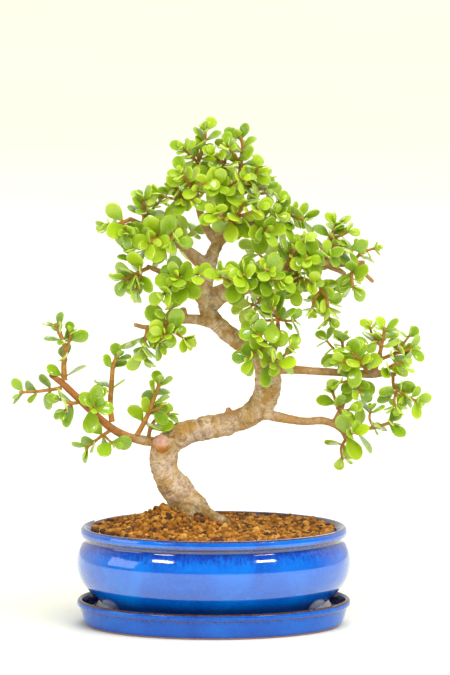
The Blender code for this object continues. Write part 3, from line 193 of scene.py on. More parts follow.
# ---- leafy shoots: each has its own stem and then any side stems. A stem has its points (across, depth, height),
# its leaf pairs (how many, or the share of its length where each stands), its leaf length, its turn in degrees,
# and its radius where it starts and ends, unless that is as OWN_RADII or SIDE_RADII say ----
OWN_RADII, SIDE_RADII = (1.4, 0.9), (1.2, 0.8)
SHOOTS = {
    "low_left_riser": [
        ([(-108, -8, 175), (-108.6, -8, 190), (-107.5, -8, 202), (-110.5, -8, 211), (-114, -8, 219)],
         (0.13, 0.42, 0.75, 0.87, 0.98), 13.5, 60, 2.1, 1.0),
        ([(-107.3, -8, 200), (-104.5, -9, 207.5), (-103.5, -10, 213.5)], (0.62, 0.98), 13, 80, 1.4, 0.9),
    ],
    "low_left_post": [
        ([(-73, -7, 143), (-75, -7, 160), (-74, -7, 176), (-73, -7, 189), (-70, -7, 196)], (0.57, 0.85, 0.98), 13, 15,
         2.1, 1.1),
    ],
    "low_left_end": [([(-107, -8, 174), (-118, -9, 172), (-129, -10, 170.5), (-140, -11, 170)], 3, 13.5, 40, 1.4, 1.0)],
    "low_left_under": [
        ([(-96, -8, 163), (-104, -11, 162), (-112, -13, 165)], 2, 15, 70, 1.3, 0.9),
        ([(-103, -10.6, 162), (-106, -15, 158.5), (-108, -17, 156)], 1, 16, 20, 1.1, 0.8),
    ],
    "low_left_front": [([(-90, -8, 158), (-88, -15, 158.5), (-86, -19, 159)], 2, 16, 30, 1.3, 0.9)],
    "low_left_upper": [([(-83, -7.5, 152), (-84, -9, 160), (-82, -10, 168)], 2, 14, 60, 1.3, 0.9)],
    "low_left_hanging": [
        ([(-74, -7, 143), (-84, -9, 136), (-93, -10, 128.5)], 3, 13.5, 30, 1.3, 0.9),
        ([(-80, -8.2, 138.8), (-76, -12, 135), (-73, -14, 132)], 1, 14, 0, 1.1, 0.8),
    ],
    "low_left_inner": [
        ([(-57, -6, 136), (-50, -7, 149), (-46, -7, 158), (-42.5, -6, 168), (-39, -6, 177)], 5, 14, 20, 1.9, 1.0),
        ([(-47, -7, 156), (-40, -10, 158), (-35, -12, 162)], 2, 13.5, 60),
    ],
    "low_left_inner_short": [
        ([(-48, -5, 134), (-45.5, -4, 145), (-40, -3, 152), (-33, -2, 155)], 3, 13.5, 60, 1.5, 0.9),
        ([(-47, -4.7, 138.5), (-51, -10, 137), (-53, -14, 136)], 1, 14, 15),
    ],
    "low_right_twig": [
        ([(91, -4, 155), (89, -6, 162), (86, -7, 171)], 2, 13, 20, 1.3, 0.8),
        ([(89.6, -5.4, 160), (94, -11, 157), (98, -15, 157)], 2, 13.5, 70, 1.1, 0.8),
    ],
    "low_right_end": [
        ([(94, -5, 141), (105, -7, 142.5), (117, -8, 144.5), (129, -9, 148)], 3, 15.5, 35, 1.6, 1.2),
        ([(116, -8, 144.4), (113, -9, 151), (114, -9, 157)], 1, 12.5, 10, 1.1, 0.8),
    ],
    "low_right_front": [([(95.5, -5, 138), (98, -12, 139), (101, -16, 140)], 2, 17, 60, 1.3, 0.9)],
    "low_right_hanging": [([(96, -5, 136), (92.5, -6, 129), (93.5, -7, 121)], 2, 13, 20, 1.2, 0.8)],
    "mid_right_top": [
        ([(120, -6, 196), (122, -6, 206), (124, -6, 217)], 3, 14.5, 25, 1.5, 0.9),
        ([(121.6, -6, 204), (115, -8, 212), (113, -9, 218)], 2, 13, 60),
    ],
    "mid_right_tip": [
        ([(120, -6, 194), (131, -9, 198), (144, -11, 202)], 3, 13.5, 50),
        ([(130, -8.6, 197.5), (137, -9, 205), (142, -9, 212)], 2, 12.5, 20, 1.1, 0.8),
    ],
    "mid_right_front": [
        ([(112, -6, 184), (106, -13, 193), (100, -16, 199)], 3, 16.5, 30),
        ([(107.5, -11.4, 191), (98, -15, 191), (91, -17, 192)], 2, 15.5, 70),
    ],
    "mid_right_inner": [
        ([(101, -5, 184), (95, -3, 196), (93, -3, 209)], 3, 14, 0),
        ([(95.5, -3.2, 195), (87, -5, 202), (81, -6, 209)], 2, 14, 45),
    ],
    "mid_right_outer": [([(122, -6, 184), (130, -11, 190), (137, -13, 192)], 2, 15.5, 80, 1.3, 0.9)],
    "mid_right_hanging": [
        ([(130, -6, 183), (131, -7, 174), (139, -9, 168), (148, -10, 163)], 3, 14.5, 55, 1.2, 0.9),
        ([(133, -7.4, 172.5), (131, -10, 165), (132, -11, 159)], 2, 14, 10, 1.1, 0.8),
    ],
    "mid_right_below": [
        ([(103, -5, 184), (104, -9, 176), (106, -11, 170)], 3, 13, 15, 1.2, 0.8),
        ([(103.5, -7, 180), (96, -11, 178), (91, -13, 177)], 2, 13.5, 50, 1.1, 0.8),
    ],
    "upper_right_tip": [([(100, -3, 264), (107, -2, 272), (118, -2, 276)], 2, 9.5, 40, 1.2, 0.7)],
    "upper_right_end": [([(102, -3, 263), (100, -9, 255), (101, -11, 246)], 2, 15.5, 10, 1.3, 0.9)],
    "upper_right_top": [
        ([(83, -1, 278), (86, -2, 286), (89, -2, 294)], 3, 14, 60),
        ([(84.8, -1.6, 283), (93, -4, 285), (98, -5, 288)], 2, 14, 20),
    ],
    "upper_right_shoulder": [([(80, -1.5, 275), (91, -5, 277), (100, -7, 273)], 3, 15.5, 30, 1.3, 0.9)],
    "upper_right_front": [
        ([(70, -3, 263.5), (69, -11, 266), (67, -17, 269)], 3, 14.5, 75),
        ([(69.2, -9.5, 265.4), (77, -15, 268), (83, -18, 270)], 2, 15, 30),
    ],
    "upper_right_hanging": [
        ([(72, -3, 263), (76, -8, 249), (82, -10, 237), (83, -10, 223)], 5, 14, 20, 1.5, 0.9),
        ([(78, -8.8, 245), (73, -12, 238), (71, -13, 230)], 2, 14.5, 60, 1.1, 0.8),
    ],
    "upper_right_below": [
        ([(59, -4, 262), (60, -9, 253), (57, -11, 244)], 3, 15.5, 50),
        ([(60, -8, 255), (67, -14, 251), (72, -17, 249)], 2, 15, 0),
    ],
    "upper_right_middle": [
        ([(52, -5, 259), (55, -8, 269), (58, -9, 279)], 3, 14.5, 10),
        ([(54.5, -7.6, 267.4), (61, -12, 275), (66, -14, 281)], 2, 14.5, 50),
    ],
    "upper_right_back": [
        ([(80, -3, 264), (84, 9, 269), (88, 19, 275)], 3, 15, 30),
        ([(83, 6, 267.6), (76, 15, 272), (71, 21, 277)], 2, 14.5, 70),
    ],
    "upper_right_inner": [
        ([(34, -6, 249), (36, -16, 255), (39, -23, 259)], 3, 16.5, 40),
        ([(36, -15, 254.4), (44, -20, 252), (49, -23, 251)], 2, 15.5, 10),
    ],
    "crown_right_end": [
        ([(41, 1, 297.5), (54, -1, 300), (66, -3, 296)], 3, 15.5, 40, 1.5, 0.9),
        ([(46, 0.4, 298.6), (45, -2, 305), (47, -3, 311)], 2, 14, 20),
    ],
    "crown_right_front": [
        ([(26, 2, 293), (33, -7, 290), (38, -15, 288)], 3, 16.5, 70, 1.5, 0.9),
        ([(31, -4.4, 290.8), (40, -9, 296), (46, -12, 299)], 2, 15, 20),
    ],
    "crown_left": [
        ([(-13.5, 0, 333), (-9, -1, 345), (-6.5, -1, 355), (-6, -1, 363)], 4, 13.5, 30, 1.6, 0.8),
        ([(-11.5, -0.4, 338.4), (-17, -4, 343), (-22, -7, 348)], 2, 14.5, 80),
    ],
    "crown_right_tip": [
        ([(19, 1, 328), (20, 0, 341), (21, 0, 351), (19, 0, 357)], 3, 14.5, 45, 1.6, 0.9),
        ([(20, 0.3, 338), (14, -5, 344), (10, -8, 350)], 2, 14.5, 10),
    ],
    "crown_middle": [
        ([(9, 2, 332), (5, -4, 338), (1, -9, 343)], 3, 15, 20),
        ([(7, -1, 335), (9, 6, 343), (8, 10, 350)], 2, 14, 60),
    ],
    "crown_left_front": [
        ([(-12.5, 1, 316), (-18, -8, 322), (-23, -13, 330)], 3, 16, 60),
        ([(-16, -5, 320), (-10, -13, 321), (-6, -18, 322)], 2, 15, 20),
    ],
    "crown_right_front_tip": [
        ([(20, 2, 318), (28, -5, 325), (32, -8, 334)], 3, 13.5, 10),
        ([(25, -2.4, 322), (33, -6, 319), (39, -8, 318)], 2, 14.5, 50),
    ],
    "crown_right_back": [
        ([(19.5, 2, 315), (30, 6, 320), (40, 6, 328)], 3, 11, 50, 1.3, 0.8),
        ([(27, 5, 318.6), (34, 13, 316), (39, 18, 317)], 2, 14.5, 10),
    ],
    "crown_front": [
        ([(10, 3, 316), (7, -8, 318), (4, -16, 321)], 3, 16, 50),
        ([(8, -4.6, 317.4), (15, -12, 323), (20, -16, 326)], 2, 15, 0),
    ],
    "crown_low_front": [
        ([(12, 3.5, 287), (17, -8, 298), (22, -14, 309)], 3, 15.5, 30, 1.5, 0.9),
        ([(15, -3.4, 294), (7, -13, 297), (2, -19, 300)], 2, 16, 70),
        ([(17, -8, 298), (26, -15, 301), (32, -19, 304)], 2, 15, 40),
    ],
    "crown_back": [
        ([(5, 25, 317), (1, 32, 325), (-1, 37, 334)], 3, 15, 10),
        ([(3, 28.6, 321), (12, 35, 322), (18, 39, 326)], 2, 15, 60),
        ([(3, 28.6, 321), (-7, 30, 318), (-14, 32, 319)], 2, 15, 20),
    ],
    "left_tip": [
        ([(-60, -7, 296.5), (-69, -8, 293), (-77, -9, 291)], 2, 15, 50),
        ([(-66, -7.7, 294), (-63, -12, 289), (-62, -16, 285)], 2, 15, 10),
    ],
    "left_top": [
        ([(-51, -6, 292), (-50, -6, 302), (-51, -6, 312)], 3, 14.5, 20, 1.5, 0.9),
        ([(-50.4, -6, 298), (-43, -8, 305), (-38, -9, 310)], 2, 15, 70),
    ],
    "left_front": [
        ([(-38, -4, 285.5), (-42, -13, 282), (-46, -20, 279)], 3, 16.5, 65, 1.5, 0.9),
        ([(-41, -11, 282.8), (-33, -19, 281), (-27, -24, 280)], 2, 16, 20),
    ],
    "left_riser_tip": [
        ([(-24, -3, 306), (-23, -4, 314), (-29, -5, 321)], 3, 14, 40),
        ([(-23.4, -3.6, 311), (-19, -11, 311), (-15, -16, 309)], 2, 15, 10),
        ([(-23.4, -3.6, 311), (-33, -8, 312), (-40, -10, 315)], 2, 14.5, 50),
    ],
    "left_middle_end": [
        ([(-46, -10.5, 261.5), (-55, -14, 257), (-65, -16, 252)], 3, 16, 30, 1.5, 0.9),
        ([(-52, -13, 258.8), (-55, -15, 250), (-56, -16, 243)], 2, 15, 70),
        ([(-52, -13, 258.8), (-57, -13, 265), (-60, -13, 272)], 2, 14.5, 40),
    ],
    "left_middle_front": [
        ([(-24, -6, 251), (-25, -14, 252), (-27, -21, 254)], 3, 16, 75, 1.5, 0.9),
        ([(-24.6, -11, 251.5), (-32, -17, 246), (-36, -20, 241)], 2, 15.5, 30),
        ([(-24.6, -11, 251.5), (-16, -17, 253), (-11, -21, 256)], 2, 15.5, 50),
    ],
    "left_lower_hanging": [
        ([(-48, -9, 217.5), (-50, -10, 206), (-51, -10, 195)], 3, 16, 25, 1.3, 0.9),
        ([(-49, -9.5, 212), (-43, -13, 207), (-39, -15, 205)], 1, 14, 60, 1.1, 0.8),
    ],
    "left_lower_front": [
        ([(-33, -7, 220), (-35, -14, 214), (-37, -19, 210)], 3, 14.5, 0),
        ([(-34, -11, 216.6), (-26, -17, 212), (-20, -19, 208)], 2, 14.5, 50),
        ([(-34, -11, 216.6), (-33, -14, 225), (-31, -16, 232)], 2, 15, 20),
    ],
    "front_high": [
        ([(20, -5, 245), (21, -16, 251), (22, -25, 255)], 3, 17.5, 40, 1.5, 1.0),
        ([(20.8, -14, 250), (11, -21, 251), (4, -25, 254)], 2, 16.5, 70),
    ],
    "front_middle": [
        ([(46.5, -15, 219), (46, -17, 226), (41, -20, 232)], 2, 15.5, 20, 1.3, 0.9),
        ([(46.2, -16.2, 223), (53, -18, 222), (59, -19, 222)], 1, 10.5, 60, 1.1, 0.8),
        ([(46.2, -16.2, 223), (38, -19, 222), (31, -22, 222)], 2, 16, 60, 1.1, 0.8),
    ],
    "front_inner": [
        ([(43, -11, 200), (37, -19, 206), (32, -25, 212)], 3, 16.5, 50),
        ([(38.5, -17, 204.6), (31, -21, 199), (25, -23, 194)], 2, 16, 10),
    ],
    "front_low": [
        ([(37, -6, 190), (42, -16, 191), (46, -24, 192)], 2, 17.5, 30, 1.5, 1.0),
        ([(41, -14, 190.8), (50, -18, 196), (56, -21, 202)], 2, 15, 60),
    ],
    "back_left": [
        ([(-24, 40, 278), (-32, 46, 285), (-38, 50, 292)], 3, 15.5, 30),
        ([(-28, 43, 281.4), (-20, 49, 286), (-15, 53, 291)], 2, 15, 60),
        ([(-28, 43, 281.4), (-35, 47, 277), (-41, 50, 273)], 2, 15, 0),
    ],
    "back_right": [
        ([(37, 37, 263.5), (45, 43, 269), (52, 47, 277)], 3, 15.5, 60),
        ([(41, 40, 266.2), (34, 46, 272), (30, 51, 279)], 2, 15, 10),
        ([(41, 40, 266.2), (47, 46, 262), (52, 51, 259)], 2, 15, 30),
    ],
    "back_low": [
        ([(30, 38, 231.5), (33, 46, 238), (35, 52, 245)], 3, 15.5, 20),
        ([(31.6, 42, 235), (24, 48, 237), (18, 52, 241)], 2, 15, 60),
    ],
}


# ---- ovals: the pot and the tray ----
def tray_profile():
    half, top, inner = TRAY_LENGTH / 2, TRAY_HEIGHT, TRAY_LENGTH / 2 - TRAY_WALL
    return [
        (0, 0), (half - 7.6, 0), (half - 5.6, 2.2), (half - 2.6, top - 7.6), (half - 1.6, top - 5.4),
        (half - 0.3, top - 4.2), (half, top - 2.2), (half - 0.9, top - 0.5), (half - 2.2, top),
        (half - 3.5, top - 0.6), (inner, top - 2.6), (inner - 2.2, TRAY_FLOOR + 3), (inner - 5.5, TRAY_FLOOR),
        (0, TRAY_FLOOR),
    ]


def pot_rows(low, high, shares):
    """Rows between two half-lengths: each share is how far from one to the other, with how far up the pot."""
    return [(low + (high - low) * share, POT_BASE_Z + rise * POT_HEIGHT) for share, rise in shares]


def pot_outside():
    """Half-length and height up the outside of the pot, from its base to the top of its rolled lip."""
    base, belly = POT_BASE_LENGTH / 2, POT_LENGTH / 2
    neck, lip = POT_NECK_LENGTH / 2, POT_LIP_LENGTH / 2
    swell = ((0, 0), (0.18, 0.055), (0.38, 0.13), (0.624, 0.235), (0.8, 0.335), (0.936, 0.46), (1, 0.6))
    return [
        *pot_rows(base, belly, swell), *pot_rows(belly, neck, ((0.14, 0.7), (0.6, 0.79), (1, 0.845))),
        (neck + 0.3, CREST_Z - 7.6), (lip - 0.9, CREST_Z - 6.4), (lip, CREST_Z - 4.2),
        (lip - 0.6, CREST_Z - 1.7), (lip - 2.5, CREST_Z),
    ]


def pot_inside():
    """The same down the inside, from the lip to the floor."""
    base, belly, neck = POT_BASE_LENGTH / 2 - POT_WALL, POT_LENGTH / 2 - POT_WALL, POT_NECK_LENGTH / 2 - POT_WALL
    return [
        (neck + 3.3, CREST_Z - 0.9), (neck + 1.5, CREST_Z - 3.6),
        *pot_rows(belly, neck, ((1, 0.84), (0.2, 0.7))),
        *pot_rows(base, belly, ((0.99, 0.6), (0.9, 0.44), (0.63, 0.26))),
        (base + 5, POT_BASE_Z + POT_FLOOR),
    ]


# ---- tubes: the trunk, its limbs and the stems of the shoots ----
def place(x, y, z):
    """A set-out point as a real one: the height drops with depth, and the tree's scale acts about the soil line."""
    if z > LOW_GROWTH and y < 0:
        y *= FRONT_SPREAD
    return Vector((x, y, z - FALL * y - SET_OUT_LINE)) * TREE_SCALE + Vector((0, 0, SOIL_LINE))


def limb_rows(rows):
    return [(place(x, y, z), r * TREE_SCALE) for x, y, z, r in rows]


def smooth_rows(rows, steps):
    """Points and radii along a curve through the rows, with the given number of steps to a span."""
    ends = [2 * rows[0][0] - rows[1][0]] + [p for p, _ in rows] + [2 * rows[-1][0] - rows[-2][0]]
    out = []
    for i in range(len(rows) - 1):
        a, b, c, d = ends[i:i + 4]
        for k in range(steps):
            t = k / steps
            point = 0.5 * (2 * b + (c - a) * t + (2 * a - 5 * b + 4 * c - d) * t * t + (3 * b - a - 3 * c + d) * t ** 3)
            out.append((point, rows[i][1] * (1 - t) + rows[i + 1][1] * t))
    return out + [rows[-1]]


def sideways(axis):
    """A direction square to an axis, to the front where that can be."""
    side = Vector((0, -1, 0)) if abs(axis.y) < 0.8 else Vector((1, 0, 0))
    return (side - axis * side.dot(axis)).normalized()


def carry_frames(points):
    """A tangent and two cross directions at each point, turned as little as possible from one to the next."""
    last = len(points) - 1
    tangents = [(points[min(i + 1, last)] - points[max(i - 1, 0)]).normalized() for i in range(len(points))]
    side = sideways(tangents[0])
    out = []
    for i, tangent in enumerate(tangents):
        if i:
            side = tangents[i - 1].rotation_difference(tangent) @ side
            side = (side - tangent * side.dot(tangent)).normalized()
        out.append((tangent, side, tangent.cross(side)))
    return out


def ring_at(centre, axes, radius, sides, phase=0.0):
    _, side, up = axes
    turns = [phase + i * (2 * math.pi / sides) for i in range(sides)]
    return [centre + (side * math.cos(a) + up * math.sin(a)) * radius for a in turns]


def ring_faces(rings, sides, first=0):
    """The faces between rings of points that lie one after another, each ring with the given number of sides."""
    faces = []
    for a in range(first, first + (rings - 1) * sides, sides):
        faces += [(a + i, a + (i + 1) % sides, a + sides + (i + 1) % sides, a + sides + i) for i in range(sides)]
    return faces


def closed_faces(rings, sides):
    """The same with a face over each end."""
    top = (rings - 1) * sides
    return [tuple(reversed(range(sides))), *ring_faces(rings, sides), tuple(range(top, top + sides))]


def tube(rows, sides, grow=0.0):
    """Points and faces of a closed tube with a rounded far end."""
    frames = carry_frames([p for p, _ in rows])
    out = []
    for (centre, radius), axes in zip(rows, frames):
        out += ring_at(centre, axes, radius + grow, sides)
    tip, radius = rows[-1]
    out += ring_at(tip + frames[-1][0] * (radius + grow) * 0.45, frames[-1], (radius + grow) * 0.55, sides)
    return out, closed_faces(len(rows) + 1, sides)


def cad_limbs():
    """Each woody part's rows as the CAD has them, smoothed, and its number of sides."""
    made = [(smooth_rows(limb_rows(TRUNK), 1), 12)]
    for rows in LIMBS.values():
        real = limb_rows(rows)
        made.append((smooth_rows(real, 2 if len(real) < 5 else 1), 8 if max(r for _, r in real[1:]) > 3.5 else 6))
    return made


# ---- leafy shoots ----
class Taken:
    """What is already in place, so that a new stem or leaf can keep clear of it."""

    def __init__(self):
        self.items = []
        self.lows, self.highs = np.zeros((2, MOST_SHAPES, 3))

    @staticmethod
    def box(points):
        low = Vector([min(p[k] for p in points) for k in range(3)])
        high = Vector([max(p[k] for p in points) for k in range(3)])
        return low, high

    def add(self, owner, points, faces):
        count = len(self.items)
        self.lows[count], self.highs[count] = self.box(points)
        self.items.append((owner, BVHTree.FromPolygons(points, faces)))

    def hit(self, points, faces, skip=None, only=None):
        """Whether these faces cross anything in place, or anything but one owner's, or only that owner's."""
        low, high = self.box(points)
        tree = None
        count = len(self.items)
        near = (self.highs[:count] >= low).all(1) & (self.lows[:count] <= high).all(1)
        for index in np.flatnonzero(near):
            owner, other = self.items[index]
            if owner == skip or (only and owner != only):
                continue
            tree = tree or BVHTree.FromPolygons(points, faces)
            if tree.overlap(other):
                return True
        return False


def along(points, distance):
    """The point and direction at a distance along a bent line."""
    for a, b in zip(points, points[1:]):
        length = (b - a).length
        if distance <= length:
            return a + (b - a) * (distance / length), (b - a).normalized()
        distance -= length
    return points[-1], (points[-1] - points[-2]).normalized()


class Stem:
    """One jointed stem of a shoot. Its opposite leaf pairs stand crosswise, each leaf drawn out of a stem face."""

    def __init__(self, name, seed, points, pairs, leaf, turn, thick, thin):
        self.name, self.seed, self.pairs, self.thick, self.thin = name, seed, pairs, thick, thin
        self.dice = random.Random(seed)
        self.line = [p for p, _ in smooth_rows([(place(*p), 1.0) for p in points], 4)]
        self.total = sum((b - a).length for a, b in zip(self.line, self.line[1:]))
        self.leaf = leaf * LEAF_SCALE
        self.turn = math.radians(turn)
        self.sides = 4 if thick < THIN_STEM else 6
        self.leaves, self.extras = [], []

    def grow_from_limb(self, taken):
        """A shoot's own stem starts as near its limb as the gap allows."""
        start = 0.0
        while start < self.total - SHORTEST_STEM:
            self.lay_rings(start)
            if not taken.hit(*self.fat_stem(FIT_GAP)):
                taken.add(self.name, *self.fat_stem(STEM_SKIN))
                return
            start += START_STEP
        raise ValueError("no room for " + self.name)

    def grow_from_stem(self, taken):
        """A side stem starts inside its shoot's own stem. It is left out where it would touch another shoot."""
        self.lay_rings(0.0)
        free = not taken.hit(*self.fat_stem(FIT_GAP), skip=self.name)
        if free:
            taken.add(self.name, *self.fat_stem(STEM_SKIN))
        return free

    def joints(self, start):
        """How far along the stem each leaf pair stands."""
        total = self.total
        if isinstance(self.pairs, tuple):
            return [min(max(total * share, start + 1.8), total - 1.2) for share in self.pairs]
        first, last = start + max(2.2, (total - start) * 0.24), total - 1.6
        if self.pairs == 1:
            return [last - 0.4]
        return [first + (last - first) * i / (self.pairs - 1) for i in range(self.pairs)]

    def radius(self, distance):
        return self.thick + (self.thin - self.thick) * (distance - self.start) / (self.total - self.start)

    def lay_rings(self, start):
        """The stem's rings from its start: one each side of every joint, and one at each end."""
        self.start, self.nodes = start, self.joints(start)
        marks = [(start, 0.92)]
        for node in self.nodes:
            marks += [(node - JOINT_HALF, 1.12), (node + JOINT_HALF, 1.12)]
        marks.append((self.total + 0.3, 0.8))
        centres = [along(self.line, distance)[0] for distance, _ in marks]
        centres[-1] = centres[-2] + (centres[-2] - centres[-3]).normalized() * 0.9
        self.centres = centres
        self.frames = carry_frames(centres)
        self.radii = [self.radius(distance) * swell for distance, swell in marks]
        step_round = math.pi / 2 - 2 * math.pi / self.sides
        self.rings = []
        for i, centre in enumerate(centres):
            twist = self.turn + step_round * max(0, min(len(self.nodes) - 1, (i - 1) // 2))
            self.rings.append(ring_at(centre, self.frames[i], self.radii[i], self.sides, twist))

    def fat_stem(self, grow):
        """The stem with room all round, as points and faces."""
        rows = [(c, r + grow) for c, r in zip(self.centres, self.radii)]
        rows[0] = (rows[0][0] - self.frames[0][0] * grow, rows[0][1])
        return tube(rows, 12)

    def leaf_frame(self, corners, ring, lift, twist, sway):
        """The middle of a stem face, and the leaf's forward, across and upper directions from it."""
        middle = sum(corners, Vector()) / 4
        axis = (self.centres[ring + 1] - self.centres[ring]).normalized()
        radial = middle - self.centres[ring]
        radial = (radial - axis * radial.dot(axis)).normalized()
        return self.turned_frame(middle, axis, radial, lift, twist, sway, LEAF_LIGHT)

    def turned_frame(self, middle, axis, radial, lift, twist, sway, light):
        across = axis.cross(radial)
        forward = radial * math.cos(lift) + axis * math.sin(lift)
        forward = (forward + across * math.sin(sway)).normalized()
        across = (across - forward * across.dot(forward)).normalized()
        upper = forward.cross(across)
        twist += light * self.turn_to_light(middle, forward, across, upper)
        turned = across * math.cos(twist) + upper * math.sin(twist)
        return middle, forward, turned, forward.cross(turned)

    @staticmethod
    def turn_to_light(middle, forward, across, upper):
        """The turn about its own length that would face a leaf up and out of the crown."""
        out = Vector((0.3 if middle.x > 0 else -0.3, 0.8 if middle.y > 16 else -0.8, 0.55))
        out -= forward * out.dot(forward)
        return max(-1.7, min(1.7, math.atan2(-out.dot(across), out.dot(upper))))

    @staticmethod
    def blade_rings(frame_at, length, thick, grow=0.0):
        """The leaf's full cross-section near its middle, and then the three points of its thin round end."""
        middle, forward, across, upper = frame_at
        width, droop = length * LEAF_WIDTH, length * LEAF_DROOP
        centre = middle + forward * (length * 0.5) - upper * (droop * 0.3)
        half, rise = width * 0.95 / 2 + grow, thick / 2 + grow
        girth = [centre - across * half, centre - upper * rise, centre + across * half, centre + upper * rise]
        shoulder = middle + forward * (length * 0.86 + grow) - upper * (droop * 0.75)
        half = width * 0.8 / 2 + grow
        tip = middle + forward * (length + grow) - upper * droop
        return girth + [shoulder - across * half, tip, shoulder + across * half]

    @staticmethod
    def blade_mesh(base, rings):
        """A leaf blade as points and faces, from a base of four points to its end."""
        left, low, right, top, end_left, tip, end_right = range(4, 11)
        faces = ring_faces(2, 4)
        faces += [(left, low, end_left), (low, tip, end_left), (low, end_right, tip), (low, right, end_right)]
        faces += [(right, top, end_right), (top, tip, end_right), (top, end_left, tip), (top, left, end_left)]
        return list(base) + rings, faces

    @staticmethod
    def narrow_base(frame_at, ahead, wide, tall):
        """Four points round a leaf's start, a little way out from where it grows."""
        middle, forward, across, upper = frame_at
        foot = middle + forward * ahead
        return [foot - across * wide, foot - upper * tall, foot + across * wide, foot + upper * tall]

    def try_leaf(self, corners, ring, length, lift, twist, sway, taken):
        found = self.leaf_frame(corners, ring, lift, twist, sway)
        fat = self.blade_rings(found, length, LEAF_THICKNESS, FIT_GAP)
        wide = [found[0] + (corner - found[0]) * 1.35 for corner in corners]
        if taken.hit(*self.blade_mesh(wide, fat), skip=self.name):
            return False
        narrow = self.narrow_base(found, length * 0.12, 1.1, 0.9)
        if taken.hit(*self.blade_mesh(narrow, fat), only=self.name):
            return False
        taken.add(self.name, *self.blade_mesh(corners, self.blade_rings(found, length, LEAF_THICKNESS)))
        self.leaves.append((found, length))
        return True

    def grow_leaf(self, node, ring, corners, taken):
        """Tries the natural stance first, then wider and smaller ones, and grows nothing if none is free."""
        share = node / max(1, len(self.nodes) - 1)
        size = self.leaf * (1.04 - 0.27 * share if len(self.nodes) > 1 else 1.0) * self.dice.uniform(0.9, 1.1)
        lift = math.radians(26 + 22 * share + self.dice.uniform(-12, 12))
        twist = math.radians(self.dice.uniform(-28, 28))
        sway = math.radians(self.dice.uniform(-14, 14))
        for attempt in range(LEAF_TRIES):
            reach = attempt * 0.075
            if self.try_leaf(
                corners, ring, size * (1 - 0.022 * attempt), lift + self.dice.uniform(-1, 1) * reach,
                twist + self.dice.uniform(-1, 1) * reach * 1.6, sway + self.dice.uniform(-1, 1) * reach, taken,
            ):
                return

    def grow_leaves(self, taken):
        """A leaf from each of two opposite stem faces at every joint."""
        n = self.sides
        for node in range(len(self.nodes)):
            ring = 2 * node + 1
            low, high = self.rings[ring], self.rings[ring + 1]
            for i in sorted((node % n, (node + n // 2) % n)):
                j = (i + 1) % n
                self.grow_leaf(node, ring, [low[i], low[j], high[j], high[i]], taken)

    def try_extra(self, distance, angle, length, lift, twist, sway, taken):
        """A further leaf from the stem's bark at a distance along it, where nothing else is in its way."""
        centre, axis = along(self.line, distance)
        side = sideways(axis)
        radial = side * math.cos(angle) + axis.cross(side) * math.sin(angle)
        middle = centre + radial * self.radius(distance) * 0.9
        found = self.turned_frame(middle, axis, radial, lift, twist, sway, EXTRA_LIGHT)
        rings = self.blade_rings(found, length, LEAF_THICKNESS * 0.8, 0.05)
        blade = self.blade_mesh(self.narrow_base(found, length * 0.14, 0.9, 0.7), rings)
        free = not taken.hit(*blade)
        if free:
            taken.add(self.name, *blade)
            self.extras.append((found, length))
        return free

    def grow_tip(self, taken):
        """The pair of small new leaves that ends a stem."""
        dice = random.Random(self.seed * 5 + 1)
        turn = dice.uniform(0, math.pi)
        for side in range(2):
            for attempt in range(TIP_TRIES):
                size = self.leaf * dice.uniform(0.4, 0.58) * (1 - 0.1 * attempt)
                lift = math.radians(dice.uniform(48, 68) + 3 * attempt)
                angle = turn + math.pi * side + dice.uniform(-0.3, 0.3)
                if self.try_extra(self.total - 0.2, angle, size, lift, dice.uniform(-0.3, 0.3), 0, taken):
                    break

    def grow_extras(self, taken):
        """Smaller leaves from side buds at the joints and between them, wherever there is room."""
        dice = random.Random(self.seed * 7 + 3)
        group = next((g for g in FULLNESS if self.name.startswith(g)), None)
        at_joint, between = FULLNESS.get(group, CROWN_FULLNESS)
        spots = [(node, at_joint) for node in self.nodes]
        ends = [self.start + 1.5] + list(self.nodes)
        spots += [((a + b) / 2, between) for a, b in zip(ends, ends[1:]) if b - a > 3.5]
        for distance, count in spots:
            first = dice.uniform(0, 2 * math.pi)
            for turn in range(count):
                for attempt in range(EXTRA_TRIES):
                    size = self.leaf * dice.uniform(0.45, 0.82) * (1 - 0.1 * attempt)
                    angle = first + 2 * math.pi * turn / count + dice.uniform(-0.3, 0.3)
                    lift, twist = math.radians(dice.uniform(8, 58)), dice.uniform(-0.6, 0.6)
                    where = distance + dice.uniform(-0.8, 0.8)
                    if self.try_extra(where, angle, size, lift, twist, dice.uniform(-0.3, 0.3), taken):
                        break


def plan_shoots():
    """Every shoot's stems, first the ones on limbs and then their side stems, and after that all the leaves."""
    taken = Taken()
    for rows, sides in cad_limbs():
        taken.add("wood", *tube(rows, sides, STEM_SKIN))
    shoots = {}
    for seed, (name, plans) in enumerate(SHOOTS.items()):
        stems = []
        for i, plan in enumerate(plans):
            radii = plan[4:] or (SIDE_RADII if i else OWN_RADII)
            stems.append(Stem(name, FIRST_SEED + 10 * seed + i, *plan[:4], *radii))
        stems[0].grow_from_limb(taken)
        shoots[name] = stems
    for name, stems in shoots.items():
        shoots[name] = stems[:1] + [side for side in stems[1:] if side.grow_from_stem(taken)]
    for grow in (Stem.grow_leaves, Stem.grow_tip, Stem.grow_extras):
        for stems in shoots.values():
            for stem in stems:
                grow(stem, taken)
    return shoots


# ---- mesh pieces ----
def linked(name, data):
    """A new object in the scene."""
    obj = bpy.data.objects.new(name, data)
    bpy.context.scene.collection.objects.link(obj)
    return obj


def mesh_of(name, points, faces):
    """A mesh in metres from points in millimetres."""
    mesh = bpy.data.meshes.new(name)
    mesh.from_pydata((np.array([tuple(p) for p in points], float) * MM).tolist(), [], faces)
    return mesh


